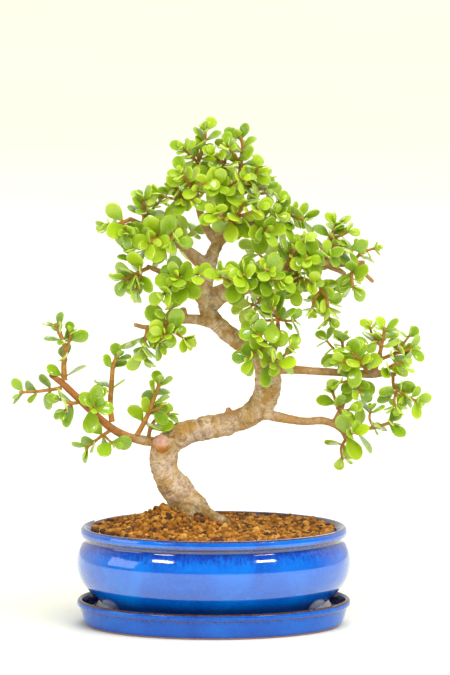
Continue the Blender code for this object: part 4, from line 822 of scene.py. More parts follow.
def finish_piece(name, mesh, looks, node, marks, face_looks=None):
    """A piece that rides on the root body. marks are numbers kept at each point."""
    for look in looks:
        mesh.materials.append(look)
    if face_looks is not None:
        mesh.polygons.foreach_set("material_index", np.asarray(face_looks, np.int32))
    mesh.polygons.foreach_set("use_smooth", np.full(len(mesh.polygons), True))
    for mark, values in marks.items():
        mesh.attributes.new(mark, "FLOAT", "POINT").data.foreach_set("value", np.asarray(values, np.float32))
    mesh.update()
    obj = linked(name, mesh)
    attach(obj, "root")
    if node:
        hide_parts(node)


def loose_object(name, points, faces):
    """An object with its faces turned outwards."""
    mesh = mesh_of(name, points, faces)
    shape = bmesh.new()
    shape.from_mesh(mesh)
    bmesh.ops.recalc_face_normals(shape, faces=shape.faces)
    shape.to_mesh(mesh)
    shape.free()
    return linked(name, mesh)


def evaluated_mesh(obj):
    """The mesh that an object's modifiers leave."""
    bpy.context.view_layer.update()
    return bpy.data.meshes.new_from_object(obj.evaluated_get(bpy.context.evaluated_depsgraph_get()))


def mesh_alone(obj, mesh):
    """The mesh, with the object taken out of the scene."""
    bpy.data.objects.remove(obj, do_unlink=True)
    return mesh


def vertex_array(mesh, what="co"):
    flat = np.empty(len(mesh.vertices) * 3)
    mesh.vertices.foreach_get(what, flat)
    return flat.reshape(-1, 3)


def step(low, high, value):
    """0 below low, 1 above high, and smooth between them."""
    share = np.clip((np.asarray(value, float) - low) / (high - low), 0, 1)
    return share * share * (3 - 2 * share)


def bump(value, middle, spread):
    return np.exp(-(((np.asarray(value, float) - middle) / spread) ** 2))


def profile_at(rows, z):
    """A profile's half-length at a height."""
    return np.interp(z, [r[1] for r in rows], [r[0] for r in rows])


# ---- shader nodes ----
class Shade:
    """A material's node tree, with short ways to add and join its nodes."""

    def __init__(self, name):
        self.material = bpy.data.materials.new(name)
        self.material.use_nodes = True
        self.nodes = self.material.node_tree.nodes
        self.links = self.material.node_tree.links
        self.shader = self.nodes["Principled BSDF"]
        self.place = self.nodes.new("ShaderNodeTexCoord").outputs["Object"]

    def node(self, kind, inputs, **settings):
        made = self.nodes.new("ShaderNode" + kind)
        for name, value in settings.items():
            setattr(made, name, value)
        for name, value in inputs.items():
            if isinstance(value, bpy.types.NodeSocket):
                self.links.new(value, made.inputs[name])
            else:
                made.inputs[name].default_value = value
        return made

    def noise(self, scale, detail=4.0, rough=0.55, place=None, warp=0.0):
        return self.node("TexNoise", {
            "Vector": place or self.place, "Scale": scale, "Detail": detail, "Roughness": rough, "Distortion": warp,
        }).outputs["Fac"]

    def mark(self, name, share=None):
        found = self.node("Attribute", {}, attribute_name=name).outputs["Fac"]
        return self.math("MULTIPLY", found, share) if share else found

    def ramp(self, value, *stops):
        made = self.nodes.new("ShaderNodeValToRGB")
        self.links.new(value, made.inputs["Fac"])
        points = made.color_ramp.elements
        while len(points) < len(stops):
            points.new(0.5)
        for point, (position, colour) in zip(points, stops):
            point.position = position
            point.color = (*colour, 1) if isinstance(colour, tuple) else (colour, colour, colour, 1)
        return made.outputs["Color"]

    def mix(self, share, a, b):
        above = b if isinstance(b, bpy.types.NodeSocket) else (*b, 1)
        return self.node("Mix", {0: share, 6: a, 7: above}, data_type="RGBA").outputs[2]

    def tint(self, below, mark, colour, share=None):
        """A colour over the one below, where the mesh is marked."""
        return self.mix(self.mark(mark, share), below, colour)

    def patch(self, below, value, low, high, colour):
        """A colour over the one below. low and high each say at which value it has which share."""
        return self.mix(self.ramp(value, low, high), below, colour)

    def math(self, how, a, b, clamp=True):
        return self.node("Math", {0: a, 1: b}, operation=how, use_clamp=clamp).outputs[0]

    def stirred(self, value, by, amount):
        """A value moved up and down by a noise."""
        centred = self.math("SUBTRACT", by, 0.5, False)
        return self.math("ADD", value, self.math("MULTIPLY", centred, amount, False))

    def finish(self, colour, roughness, *layers, **values):
        """Joins up the shader. Each layer of relief is a height socket, a strength and a depth in metres."""
        self.links.new(colour, self.shader.inputs["Base Color"])
        self.links.new(roughness, self.shader.inputs["Roughness"])
        for name, value in values.items():
            self.shader.inputs[name.replace("_", " ")].default_value = value
        normal = None
        for height, strength, depth in layers:
            inputs = {"Height": height, "Strength": strength, "Distance": depth}
            normal = self.node("Bump", {**inputs, "Normal": normal} if normal else inputs).outputs["Normal"]
        if normal:
            self.links.new(normal, self.shader.inputs["Normal"])
        return self.material


def leaf_look():
    """Glossy, fleshy and a little see-through, with paler undersides and margins."""
    s = Shade("succulent_leaf")
    tone = s.stirred(s.mark("tone"), s.noise(70, 3), 0.3)
    whole = s.ramp(tone, (0.05, (0.085, 0.215, 0.001)), (0.35, (0.225, 0.42, 0.001)),
                   (0.65, (0.45, 0.64, 0.008)), (0.95, (0.66, 0.80, 0.055)))
    mottle = s.ramp(s.noise(640, 5, 0.6), (0.40, 0.0), (0.75, 1.0))
    whole = s.mix(s.math("MULTIPLY", mottle, 0.28), whole, (0.60, 0.72, 0.04))
    whole = s.tint(whole, "under", (0.60, 0.73, 0.17), 0.45)
    whole = s.tint(whole, "rim", (0.72, 0.80, 0.09), 0.45)
    whole = s.tint(whole, "foot", (0.45, 0.33, 0.05), 0.8)
    return s.finish(
        whole, s.ramp(s.noise(260, 3), (0.3, 0.26), (0.7, 0.42)),
        (s.noise(900, 3), 0.25, 0.0002), (s.noise(150, 2), 0.35, 0.0007),
        Subsurface_Weight=0.3, Subsurface_Radius=(0.7, 1.0, 0.08), Subsurface_Scale=0.0018,
        Coat_Weight=1.0, Coat_Roughness=0.12, IOR=1.5,
    )


def stem_look():
    """Reddish young shoots, greener towards their ends, with a pale pink cut."""
    s = Shade("young_stem")
    grain = s.noise(380, 5, 0.6)
    whole = s.ramp(grain, (0.25, (0.27, 0.095, 0.011)), (0.5, (0.48, 0.20, 0.028)), (0.8, (0.68, 0.35, 0.08)))
    whole = s.tint(whole, "tip", s.ramp(grain, (0.3, (0.38, 0.26, 0.03)), (0.8, (0.58, 0.36, 0.07))), 0.42)
    whole = s.tint(whole, "joint", (0.26, 0.075, 0.02), 0.35)
    whole = s.tint(whole, "cut", (0.72, 0.30, 0.22))
    return s.finish(
        whole, s.ramp(grain, (0.3, 0.42), (0.7, 0.6)), (grain, 0.5, 0.0003), (s.noise(1500, 2), 0.3, 0.0001),
        Subsurface_Weight=0.08, Subsurface_Radius=(1.0, 0.4, 0.15), Subsurface_Scale=0.001,
    )


def bark_look():
    """Tan bark with greyish, yellowish and dark patches, ringed by wrinkles with painted shade down their grooves, and
    redder where it is young.
    """
    s = Shade("wrinkled_bark")
    broad, fine = s.noise(58, 5, 0.62, warp=0.6), s.noise(430, 6, 0.66)
    old = s.ramp(broad, (0.28, (0.38, 0.205, 0.05)), (0.42, (0.62, 0.40, 0.165)),
                 (0.54, (0.76, 0.58, 0.38)), (0.68, (0.64, 0.46, 0.39)))
    for value, low, high, colour in (
        (s.noise(80, 4, 0.65), (0.50, 0.0), (0.62, 0.85), (0.50, 0.26, 0.045)),
        (s.noise(150, 6, 0.75), (0.33, 0.9), (0.43, 0.0), (0.19, 0.10, 0.03)),
        (fine, (0.30, 0.4), (0.44, 0.0), (0.33, 0.19, 0.07)),
        (s.noise(600, 4, 0.7), (0.58, 0.0), (0.76, 0.45), (0.90, 0.78, 0.60)),
    ):
        old = s.patch(old, value, low, high, colour)
    young = s.ramp(fine, (0.25, (0.30, 0.135, 0.04)), (0.55, (0.53, 0.28, 0.105)), (0.85, (0.70, 0.47, 0.24)))
    young = s.tint(young, "shoot", s.ramp(fine, (0.3, (0.33, 0.11, 0.022)), (0.7, (0.58, 0.23, 0.06))))
    # painted shade: darker colour down the grooves of the wrinkles and cracks
    whole = s.tint(s.tint(young, "old", old), "groove_and_shade", (0.20, 0.115, 0.045), 0.6)
    moss = s.math("MULTIPLY", s.mark("damp"), s.ramp(s.noise(240, 5, 0.7), (0.38, 0.25), (0.6, 1.0)))
    whole = s.mix(moss, whole, (0.17, 0.115, 0.02))
    whole = s.tint(whole, "cut", s.ramp(fine, (0.3, (0.50, 0.24, 0.17)), (0.7, (0.74, 0.44, 0.35))))
    whole = s.tint(whole, "rust", s.ramp(fine, (0.3, (0.40, 0.13, 0.015)), (0.7, (0.72, 0.34, 0.06))))
    return s.finish(whole, s.ramp(fine, (0.3, 0.66), (0.7, 0.88)), (s.noise(120, 5, 0.6), 0.8, 0.0026),
                    (fine, 0.45, 0.0008), (s.noise(1400, 4), 0.3, 0.0002))


def soil_look(name, tone):
    """Baked clay granules: orange brown, some dark or pale, and matt."""
    s = Shade(name)
    grain = s.noise(820, 5, 0.7)
    whole = s.ramp(s.stirred(tone(s), grain, 0.45), (0.03, (0.07, 0.034, 0.020)), (0.24, (0.19, 0.065, 0.012)),
                   (0.5, (0.47, 0.185, 0.019)), (0.9, (0.80, 0.42, 0.095)))
    whole = s.patch(whole, s.noise(2200, 3), (0.55, 0.0), (0.75, 0.5), (0.80, 0.48, 0.16))
    return s.finish(whole, s.ramp(grain, (0.3, 0.82), (0.7, 0.98)), (grain, 0.9, 0.0009),
                    (s.noise(2600, 3), 0.7, 0.0003), Specular_IOR_Level=0.25)


def glaze_look(name, gloss):
    """Mottled cobalt glaze that breaks to brown over edges, with painted shade in darker blue and brown where it is
    marked, and bare clay where there is none.
    """
    s = Shade(name)
    cloud, speck = s.noise(26, 4, 0.6, warp=0.8), s.noise(620, 4, 0.7)
    blue = s.ramp(cloud, (0.30, (0.0, 0.08, 0.52)), (0.5, (0.0, 0.13, 0.70)), (0.72, (0.0, 0.195, 0.84)))
    blue = s.patch(blue, speck, (0.50, 0.0), (0.72, 0.5), (0.0, 0.26, 0.92))
    blue = s.patch(blue, s.noise(1500, 2), (0.64, 0.0), (0.78, 0.3), (0.03, 0.42, 0.95))
    falling = s.node("VectorMath", {0: s.place, 1: (1.0, 1.0, 0.22)}, operation="MULTIPLY").outputs[0]
    runs = s.ramp(s.stirred(s.mark("runs"), s.noise(420, 5, 0.7, falling), 2.4), (0.35, 0.0), (0.95, 0.85))
    runs = s.math("MULTIPLY", runs, s.ramp(s.mark("runs"), (0.02, 0.0), (0.2, 1.0)))
    # painted shade: the glaze turns dark blue wherever the shade mark is set
    blue = s.tint(s.mix(runs, blue, (0.0, 0.028, 0.40)), "painted_shade", (0.0, 0.022, 0.19), 0.88)
    brown = s.ramp(speck, (0.35, (0.022, 0.012, 0.012)), (0.65, (0.15, 0.065, 0.035)))
    # the brown mark is partly the glaze breaking over edges and partly painted shade, under the pot's lip and inside
    # the tray
    whole = s.patch(blue, s.stirred(s.mark("brown"), s.noise(210, 4, 0.7), 0.7), (0.42, 0.0), (0.62, 1.0), brown)
    clay = s.ramp(s.math("ADD", s.mark("clay"), s.math("MULTIPLY", s.noise(300, 3), 0.3)), (0.55, 0.0), (0.75, 1.0))
    whole = s.mix(clay, whole, s.ramp(speck, (0.3, (0.33, 0.15, 0.07)), (0.7, (0.50, 0.26, 0.14))))
    rough = s.mix(clay, s.ramp(s.noise(70, 3), (0.3, 0.05), (0.7, 0.11)), (0.75, 0.75, 0.75))
    return s.finish(whole, rough, (s.noise(34, 3), 0.22, 0.0010), (speck, 0.10, 0.0002),
                    IOR=1.4 + 0.3 * gloss, Coat_Weight=gloss, Coat_Roughness=0.03, Coat_IOR=1.5)


def foot_look():
    """Pale clay that the glaze stops short of, with a thin gloss; its near-white colour is also painted reflection of
    the bright surroundings.
    """
    s = Shade("pale_foot")
    colour = s.ramp(s.noise(420, 4, 0.7), (0.3, (0.80, 0.76, 0.66)), (0.7, (0.93, 0.91, 0.84)))
    return s.finish(colour, s.ramp(s.noise(90, 3), (0.3, 0.2), (0.7, 0.4)),
                    (s.noise(60, 3), 0.3, 0.0008), (s.noise(700, 3), 0.2, 0.0002))


def floor_look():
    s = Shade("pale_floor")
    colour = s.ramp(s.noise(1.6, 3), (0.3, (0.94, 0.935, 0.80)), (0.7, (0.955, 0.95, 0.83)))
    return s.finish(colour, s.ramp(s.noise(40, 3), (0.3, 0.62), (0.7, 0.72)), Specular_IOR_Level=0.2)


# ---- the pot and the tray ----
def smooth_profile(rows, steps):
    """A profile's points joined by curves that never swing past them."""
    points = [Vector((r, z)) for r, z in rows]
    ways = [Vector((0, 0))] + [(b - a).normalized() for a, b in zip(points, points[1:])] + [Vector((0, 0))]
    headings = [(before + after).normalized() for before, after in zip(ways, ways[1:])]
    out = []
    for a, b, u, v in zip(points, points[1:], headings, headings[1:]):
        reach = (b - a).length
        for k in range(steps):
            t = k / steps
            h = (2 * t ** 3 - 3 * t ** 2 + 1, t ** 3 - 2 * t ** 2 + t, 3 * t ** 2 - 2 * t ** 3, t ** 3 - t ** 2)
            out.append(tuple(a * h[0] + u * (h[1] * reach) + b * h[2] + v * (h[3] * reach)))
    return out + [tuple(points[-1])]


def fan(first, sides, tip):
    """Faces from a ring of points to one point."""
    return [(first + i, first + (i + 1) % sides, tip) for i in range(sides)]


def oval_shell(name, profile, sides=FINE_SIDES):
    """A closed solid of stacked ovals from a profile that starts and ends on the axis."""
    turn = 2 * math.pi / sides
    points = [(0, 0, profile[0][1])]
    for half, z in profile[1:-1]:
        points += [(half * math.cos(i * turn), half * POT_DEPTH_RATIO * math.sin(i * turn), z) for i in range(sides)]
    points.append((0, 0, profile[-1][1]))
    last = len(points) - 1
    faces = [face[::-1] for face in fan(1, sides, 0)] + ring_faces(len(profile) - 2, sides, 1)
    return loose_object(name, points, faces + fan(last - sides, sides, last))


def turned_solid(x, y, profile, sides=48):
    """A round solid about an upright axis, as (radius, height) rows from its bottom to its top."""
    turns = [2 * math.pi * (i + 0.37) / sides for i in range(sides)]
    points = [(x + r * math.cos(a), y + r * math.sin(a), z) for r, z in profile for a in turns]
    return loose_object("turned", points, closed_faces(len(profile), sides))


def boolean(obj, operation, other):
    change = obj.modifiers.new(operation, "BOOLEAN")
    change.operation, change.solver, change.object = operation, "EXACT", other
    mesh = evaluated_mesh(obj)
    obj.modifiers.clear()
    obj.data = mesh_alone(other, mesh)


def foot_profile():
    low, top, r = TRAY_FLOOR + REST_GAP, FOOT_TOP_Z, FOOT_RADIUS
    widths = ((0.55, 0), (0.8, 0.25), (1.05, 1.2), (1.2, 2.8), (1.24, 4.4), (1.2, 6.2), (1.05, 8.0))
    return [(r * wide, low + up) for wide, up in widths] + [(r * 0.9, top - 0.7), (r * 0.6, top), (r * 0.2, top + 0.35)]


def oval_places(mesh):
    """For each point: its place, the half-length of the oval that it is on, and its height."""
    p = vertex_array(mesh) / MM
    return p, np.hypot(p[:, 0], p[:, 1] / POT_DEPTH_RATIO), p[:, 2]


def build_pot():
    """The pot with its feet and drainage holes, and marks where its glaze is brown, where shade is painted on it, where
    it runs and where it is missing.
    """
    outside, inside = smooth_profile(pot_outside(), PROFILE_STEPS), smooth_profile(pot_inside(), INSIDE_STEPS)
    belly_z, belly_spread = POT_BASE_Z + POT_HEIGHT * 0.5, POT_HEIGHT * 0.24
    outside = [(r, z - BELLY_DROP * bump(z, belly_z, belly_spread)) for r, z in outside]
    top = smooth_profile(pot_outside()[-2:] + pot_inside()[:2], PROFILE_STEPS)
    rows = [(r, POT_BASE_Z) for r in (0, 25, 50)] + outside[:-PROFILE_STEPS] + top[:-PROFILE_STEPS]
    rows += inside[INSIDE_STEPS:] + [(0, POT_BASE_Z + POT_FLOOR)]
    pot = oval_shell("pot_glazed", rows)
    foot_x = POT_BASE_LENGTH / 2 + FOOT_OVERHANG
    for side in (-1, 1):
        for front in (-0.5, 0.5):
            boolean(pot, "UNION", turned_solid(side * foot_x, front * FOOT_SPACING, foot_profile()))
        hole = [(DRAIN_RADIUS, POT_BASE_Z - 4), (DRAIN_RADIUS, POT_BASE_Z + POT_FLOOR + 4)]
        boolean(pot, "DIFFERENCE", turned_solid(side * DRAIN_SPACING / 2, 0, hole))
    mesh = mesh_alone(pot, pot.data)
    _, half, z = oval_places(mesh)
    out = step(POT_NECK_LENGTH / 2 - 3.2, POT_NECK_LENGTH / 2 - 2.2, half)
    # brown where the glaze breaks over the lip's crest and edges; the band just under the lip is also painted shade
    brown = out * np.maximum.reduce([
        0.8 * bump(z, CREST_Z - 0.6, 0.7), bump(z, CREST_Z - 6.4, 0.8), 0.85 * bump(z, CREST_Z - 8.6, 0.7)])
    inner = (1 - out) * step(CREST_Z - 5, CREST_Z - 3, z) * step(70, 80, half)
    # painted shade: darker blue under the lip, towards the base and just inside the rim
    painted_shade = np.maximum(0.7 * out * bump(z, CREST_Z - 9.6, 1.8), 0.6 * out * step(POT_BASE_Z + 11, POT_BASE_Z - 1, z))
    runs = out * step(CREST_Z - 24, CREST_Z - 11, z) * step(CREST_Z - 8.5, CREST_Z - 9.5, z) * 0.8
    foot = z < POT_BASE_Z - 0.05
    base = (half < POT_BASE_LENGTH / 2 - 1) & (z < POT_BASE_Z + 0.1) & ~foot
    clay = np.maximum(base * 1.0, foot * step(TRAY_FLOOR + 1.6, TRAY_FLOOR + 0.6, z))
    painted_shade = np.maximum(painted_shade, 0.45 * inner)
    marks = {"brown": np.maximum(brown, 0.6 * inner), "painted_shade": painted_shade, "clay": clay, "runs": runs}
    x, y, z = (np.array([f.center for f in mesh.polygons]) / MM).T
    away = np.hypot(np.abs(x) - foot_x, np.abs(y) - FOOT_SPACING / 2)
    on_foot = (z < FOOT_TOP_Z + 0.5) & (away < profile_at(foot_profile(), z) + 0.03)
    # the feet take the pale look, whose near-white colour is partly painted reflection
    looks = [glaze_look("pot_glaze", 1.0), foot_look()]
    finish_piece("pot_glazed", mesh, looks, "pot", marks, on_foot.astype(int))


def build_tray():
    rows = tray_profile()
    curve = smooth_profile([(rows[1][0] - 6, 0)] + rows[1:-1], PROFILE_STEPS)
    tray = oval_shell("tray_glazed", [(r, 0) for r in (0, 40, 78)] + curve + [(r, TRAY_FLOOR) for r in (70, 35, 0)])
    mesh = mesh_alone(tray, tray.data)
    p, half, z = oval_places(mesh)
    outer = step(TRAY_LENGTH / 2 - 3.2, TRAY_LENGTH / 2 - 2.2, half)
    wall = half > TRAY_LENGTH / 2 - 8.2
    inner = (half < profile_at(rows[1:9], z) - 1.6) & (z > 1)
    crest = np.maximum(bump(z, TRAY_HEIGHT - 0.35, 1.05), 0.66 * outer * bump(z, TRAY_HEIGHT - 5.6, 0.7))
    marks = {
        # painted shade: the tray's inside is made dark and brown, and its outside a little darker, more so towards the
        # bottom
        "brown": np.where(inner, 0.5, crest), "painted_shade": np.where(inner, 1.0, 0.3 + 0.25 * step(4.0, 1.5, z)),
        "clay": np.where((z < 1.3) & wall, step(2.0, 1.0, z), 0) + ((z < 0.1) & ~wall) * 1.0,
        "runs": outer * (0.4 * bump(z, TRAY_HEIGHT - 3.2, 2.2) + 0.55 * bump(z, TRAY_HEIGHT - 7.4, 1.6)),
    }
    p[:, 2] = np.maximum(z, 0.0)
    mesh.vertices.foreach_set("co", (p * MM).ravel())
    finish_piece("tray_glazed", mesh, [glaze_look("tray_glaze", 0.15)], "drip_tray", marks)


# ---- the woody tree ----
CUT_ENDS = ("knob", "stub_on_trunk", "low_right_stub", "upper_right_cut", "upper_right_end", "left_lower_cut",
            "mid_right", "left_lower")
YOUNG_LIMB = "low_left"
KNOB_REACH = 9.5


def fine_limbs():
    """Each limb's close-set rows, its sides and how far along it each row is."""
    made = {}
    for number, (name, rows) in enumerate([("trunk", TRUNK), *LIMBS.items()]):
        fine = smooth_rows(limb_rows(rows), TRUNK_STEPS if name == "trunk" else LIMB_STEPS)
        walked, out = 0.0, []
        for i, (point, radius) in enumerate(fine):
            walked += (point - fine[i - 1][0]).length if i else 0.0
            swell = 0.07 * noise.noise(Vector((walked / (5 + radius), number * 7.3, 0.5)))
            if name == "knob":
                swell = 0.45 * i / len(fine)
            out.append((point, radius * (1 + swell), walked))
        made[name] = (out, TRUNK_SIDES if name == "trunk" else LIMB_SIDES)
    return made


def wood_mesh(limbs):
    """All the limbs grown together into one skin."""
    points, faces = [], []
    for rows, sides in limbs.values():
        made, round_faces = tube([(p, r) for p, r, _ in rows], sides)
        faces += [tuple(len(points) + i for i in f) for f in round_faces]
        points += made
    obj = loose_object("wood", points, faces)
    skin = obj.modifiers.new("skin", "REMESH")
    skin.mode, skin.voxel_size, skin.adaptivity = "VOXEL", WOOD_VOXEL, 0
    ease = obj.modifiers.new("ease", "SMOOTH")
    ease.factor, ease.iterations = 0.5, 6
    return mesh_alone(obj, evaluated_mesh(obj))


def wood_marks(limbs, spots):
    """For each spot: its limb's number, the way along it, its radius and whether it is on a cut end."""
    samples = [(p, r, s, n) for n, (rows, _) in enumerate(limbs.values()) for p, r, s in rows]
    tree = KDTree(len(samples))
    for i, sample in enumerate(samples):
        tree.insert(sample[0], i)
    tree.balance()
    ends = []
    for name in CUT_ENDS:
        rows = limbs[name][0]
        ends.append((rows[-1][0], (rows[-1][0] - rows[-3][0]).normalized(), rows[-1][1]))
    out = np.zeros((len(spots), 4))
    for k, spot in enumerate(spots):
        spot = Vector(spot)
        found = min(tree.find_n(spot, 6), key=lambda f: abs(f[2] - samples[f[1]][1]))
        _, r, s, n = samples[found[1]]
        gaps = [(spot - end, heading, radius) for end, heading, radius in ends]
        cut = any(g.length < radius * 1.7 and g.dot(heading) > radius * 0.12 for g, heading, radius in gaps)
        out[k] = (n, s, r, cut)
    return out


def build_wood(look):
    """The wood's piece. It gives back the smooth skin, for the soil to lie against."""
    limbs = fine_limbs()
    mesh = wood_mesh(limbs)
    spots, normals = vertex_array(mesh) / MM, vertex_array(mesh, "normal")
    found = wood_marks(limbs, spots)
    old = step(2.1, 4.6, found[:, 2])
    move, groove_and_shade = np.zeros((2, len(spots)))
    for k, (x, y, z) in enumerate(spots):
        number, walked, radius, _ = found[k]
        here = Vector((x, y, z))
        ring = noise.noise(Vector((walked * 0.34 + number * 9, x * 0.06 + z * 0.05, y * 0.08)))
        tight = noise.noise(Vector((walked * 0.85 + number * 5, x * 0.12 + z * 0.1, y * 0.15)))
        crack = noise.noise(here * 0.16 + Vector((7, 0, 0)))
        lines = max(math.exp(-(ring / 0.085) ** 2), 0.6 * math.exp(-(tight / 0.11) ** 2))
        groove_and_shade[k] = max(lines, 0.7 * math.exp(-(crack / 0.035) ** 2))
        lump = noise.noise(here * 0.09) * 1.1 + noise.noise(here * 0.27) * 0.75 + noise.noise(here * 0.8) * 0.34
        move[k] = lump * min(1.0, radius / 8) - 0.45 * groove_and_shade[k] * min(1.0, radius / 7) + 0.1
    move *= 0.25 + 0.75 * old
    mesh.vertices.foreach_set("co", ((spots + normals * move[:, None]) * MM).ravel())
    young = (found[:, 0] == list(limbs).index(YOUNG_LIMB)) * step(-50, -74, spots[:, 0])
    on_knob = np.linalg.norm(spots - np.array(limbs["knob"][0][-1][0]), axis=1) < KNOB_REACH
    rust = on_knob * step(0.05, -0.45, normals[:, 2])
    # the groove strength sinks the wrinkles and also sets the painted shade in them
    marks = {"old": old * (1 - young), "shoot": young, "cut": found[:, 3] * (1 - rust), "rust": rust,
             "groove_and_shade": groove_and_shade * (0.35 + 0.65 * old), "damp": step(SOIL_LINE + 17, SOIL_LINE + 3, spots[:, 2]) * 0.85}
    finish_piece("tree_wood", mesh, [look], "trunk", marks)
    return BVHTree.FromPolygons([Vector(p) for p in spots], [tuple(f.vertices) for f in mesh.polygons])


# ---- the soil ----
def grain_shapes():
    """Irregular granules of about unit radius."""
    shape = bmesh.new()
    bmesh.ops.create_icosphere(shape, subdivisions=2, radius=1.0)
    ball = [v.co.copy() for v in shape.verts]
    faces = np.array([[v.index for v in f.verts] for f in shape.faces])
    shape.free()
    out = []
    for k in range(GRAIN_SHAPES):
        moved = []
        for at in ball:
            broad, fine = noise.noise(at * 1.1 + Vector((k * 3.1, 0, 0))), noise.noise(at * 2.9 + Vector((0, k, 5)))
            moved.append(tuple(at * (1 + 0.38 * broad + 0.30 * fine)))
        out.append(np.array(moved))
    return out, faces


def heap_over(x, y):
    """How much the grains are heaped over the roots that start left of the trunk and in front of it."""
    left = 6.5 * math.exp(-(((x + 38) / 13) ** 2) - ((y + 5) / 13) ** 2)
    front = 7.0 * math.exp(-(((x + 17) / 9) ** 2) - ((y + 17) / 11) ** 2)
    return left + front


def grain_spots(dice):
    """Where granules may lie: (across, depth, size, layer). Those with a layer below 0 fill the heaps."""
    edge = POT_NECK_LENGTH / 2 - POT_WALL - FIT_GAP - 0.4
    spots = []
    for layer, gap in enumerate(GRAIN_GAPS):
        across = int(2 * edge / gap) + 2
        down = int(2 * edge * POT_DEPTH_RATIO / (gap * ROW_CLOSENESS)) + 2
        for j in range(down):
            for i in range(across):
                x = (i + 0.5 * (j % 2) - across / 2) * gap + dice.uniform(-0.45, 0.45) * gap
                y = (j - down / 2) * gap * ROW_CLOSENESS + dice.uniform(-0.45, 0.45) * gap
                size = dice.triangular(*GRAIN_RADII) * (1.0 if layer == 0 else 1.1)
                if math.hypot(x, y / POT_DEPTH_RATIO) < edge - size * 0.9:
                    spots.append((x, y, size, layer))
                    spots += [(x, y, size, -under) for under in range(1, 1 + int(heap_over(x, y) / 1.6))]
    return spots


def build_soil(wood, look):
    """Granules over the CAD's soil, clear of the wood, as three pieces, with the soil under them painted dark as shade
    in the gaps.
    """
    ground_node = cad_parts["soil"]
    cad = ground_node.data
    ground = BVHTree.FromPolygons([v.co / MM for v in cad.vertices], [tuple(p.vertices) for p in cad.polygons])
    shapes, faces = grain_shapes()
    dice = random.Random(SOIL_SEED)
    parts = [[], [], []]
    for number, (x, y, size, layer) in enumerate(grain_spots(dice)):
        hit = ground.ray_cast(Vector((x, y, 200)), Vector((0, 0, -1)))
        if not hit[0]:
            continue
        rise = size * (-0.15 + 0.7 * dice.random()) + max(layer, 0) * 1.5 * dice.random() ** 1.5
        rise += 1.6 * min(layer, 0)
        centre = hit[0] + Vector((0, 0, rise + heap_over(x, y)))
        near = wood.find_nearest(centre, size + 1.2)
        if near[0] and near[3] < size * 0.55:
            continue
        turn = np.array(Matrix.Rotation(dice.uniform(0, 6.283), 3, Vector([dice.uniform(-1, 1) for _ in range(3)])))
        squash = np.array([dice.uniform(0.8, 1.15) for _ in range(3)])
        tone = min(1.0, max(0.0, dice.gauss(0.45, 0.2)))
        tone -= 0.34 * max(0.0, noise.noise(Vector((x * 0.085, y * 0.11, 3.0))) * 2.6 - 0.55)
        if dice.random() < DARK_GRAINS:
            tone = dice.uniform(0, 0.1)
        points = (shapes[number % len(shapes)] * squash) @ turn.T * size + np.array(centre)
        parts[number % 3].append((points, tone))
    for number, part in enumerate(parts, 1):
        count = len(part[0][0])
        name, skins = f"soil_grains_{number}", np.concatenate([faces + i * count for i in range(len(part))])
        mesh = mesh_of(name, np.concatenate([p for p, _ in part]), skins.tolist())
        tones = np.clip(np.repeat([t for _, t in part], count), 0, 1)
        finish_piece(name, mesh, [look], None, {"tone": tones})
    # painted shade: the ground under the granules is made dark brown, for the shaded gaps between them
    cad.materials.clear()
    cad.materials.append(soil_look("soil_ground_painted_shade", lambda s: s.math("MULTIPLY", s.noise(260, 4), 0.2)))


# ---- the leafy shoots ----
def leaf_template():
    """A leaf's grid as rows of (way along, half-width share, thickness share, cos, sin), and its faces."""
    grid = []
    for k in range(LEAF_ROWS):
        t = -0.05 + 1.045 * math.sin(k / (LEAF_ROWS - 1) * math.pi / 2 * 0.97) ** 1.12
        if t < LEAF_WIDEST:
            wide = 0.14 + 0.86 * math.sin(math.pi / 2 * max(t, 0) / LEAF_WIDEST) ** 1.3
        else:
            wide = math.sqrt(max(0.0, 1 - ((t - LEAF_WIDEST) / (1 - LEAF_WIDEST)) ** 2))
        for i in range(LEAF_COLUMNS):
            a = 2 * math.pi * i / LEAF_COLUMNS
            grid.append((t, wide, 0.42 + 0.58 * wide, math.cos(a), math.sin(a)))
    tip = len(grid)
    grid.append((1.0, 0.0, 0.3, 0.0, 0.0))
    faces = closed_faces(LEAF_ROWS, LEAF_COLUMNS)[:-1] + fan(tip - LEAF_COLUMNS, LEAF_COLUMNS, tip)
    return np.array(grid), faces


def leaf_points(grid, leaf, dice):
    """One leaf's points: cupped, its end dipping or lifting, and fleshy in the middle."""
    (middle, forward, across, upper), length = leaf
    width, droop = length * LEAF_WIDTH, length * LEAF_DROOP
    t, wide, thick, x, z = grid.T
    t_in = np.clip(t, 0, 1)
    cup = dice.uniform(-0.25, 1.25) * min(1.0, width / 9)
    roll = dice.uniform(-0.35, 0.35)
    fold = dice.uniform(0.05, 0.3)
    flesh = LEAF_THICKNESS * 0.5 * (0.62 + 0.38 * min(1.0, width / 11))
    lateral = wide * x * width * LEAF_SLIM / 2
    rise = flesh * thick * z * (1 - 0.35 * np.abs(x) ** 3)
    rise = rise + cup * (x * wide) ** 2 - droop * t_in ** 1.8 + roll * x * wide
    rise = rise - fold * bump(x, 0, 0.16) * (z > 0) * np.sin(np.pi * t_in)
    wave = dice.uniform(-0.05, 0.05) * length * t_in * (1 - t_in)
    axes = np.array([tuple(across), tuple(forward), tuple(upper)])
    return np.array(tuple(middle)) + np.stack([lateral + wave, t * length, rise], 1) @ axes


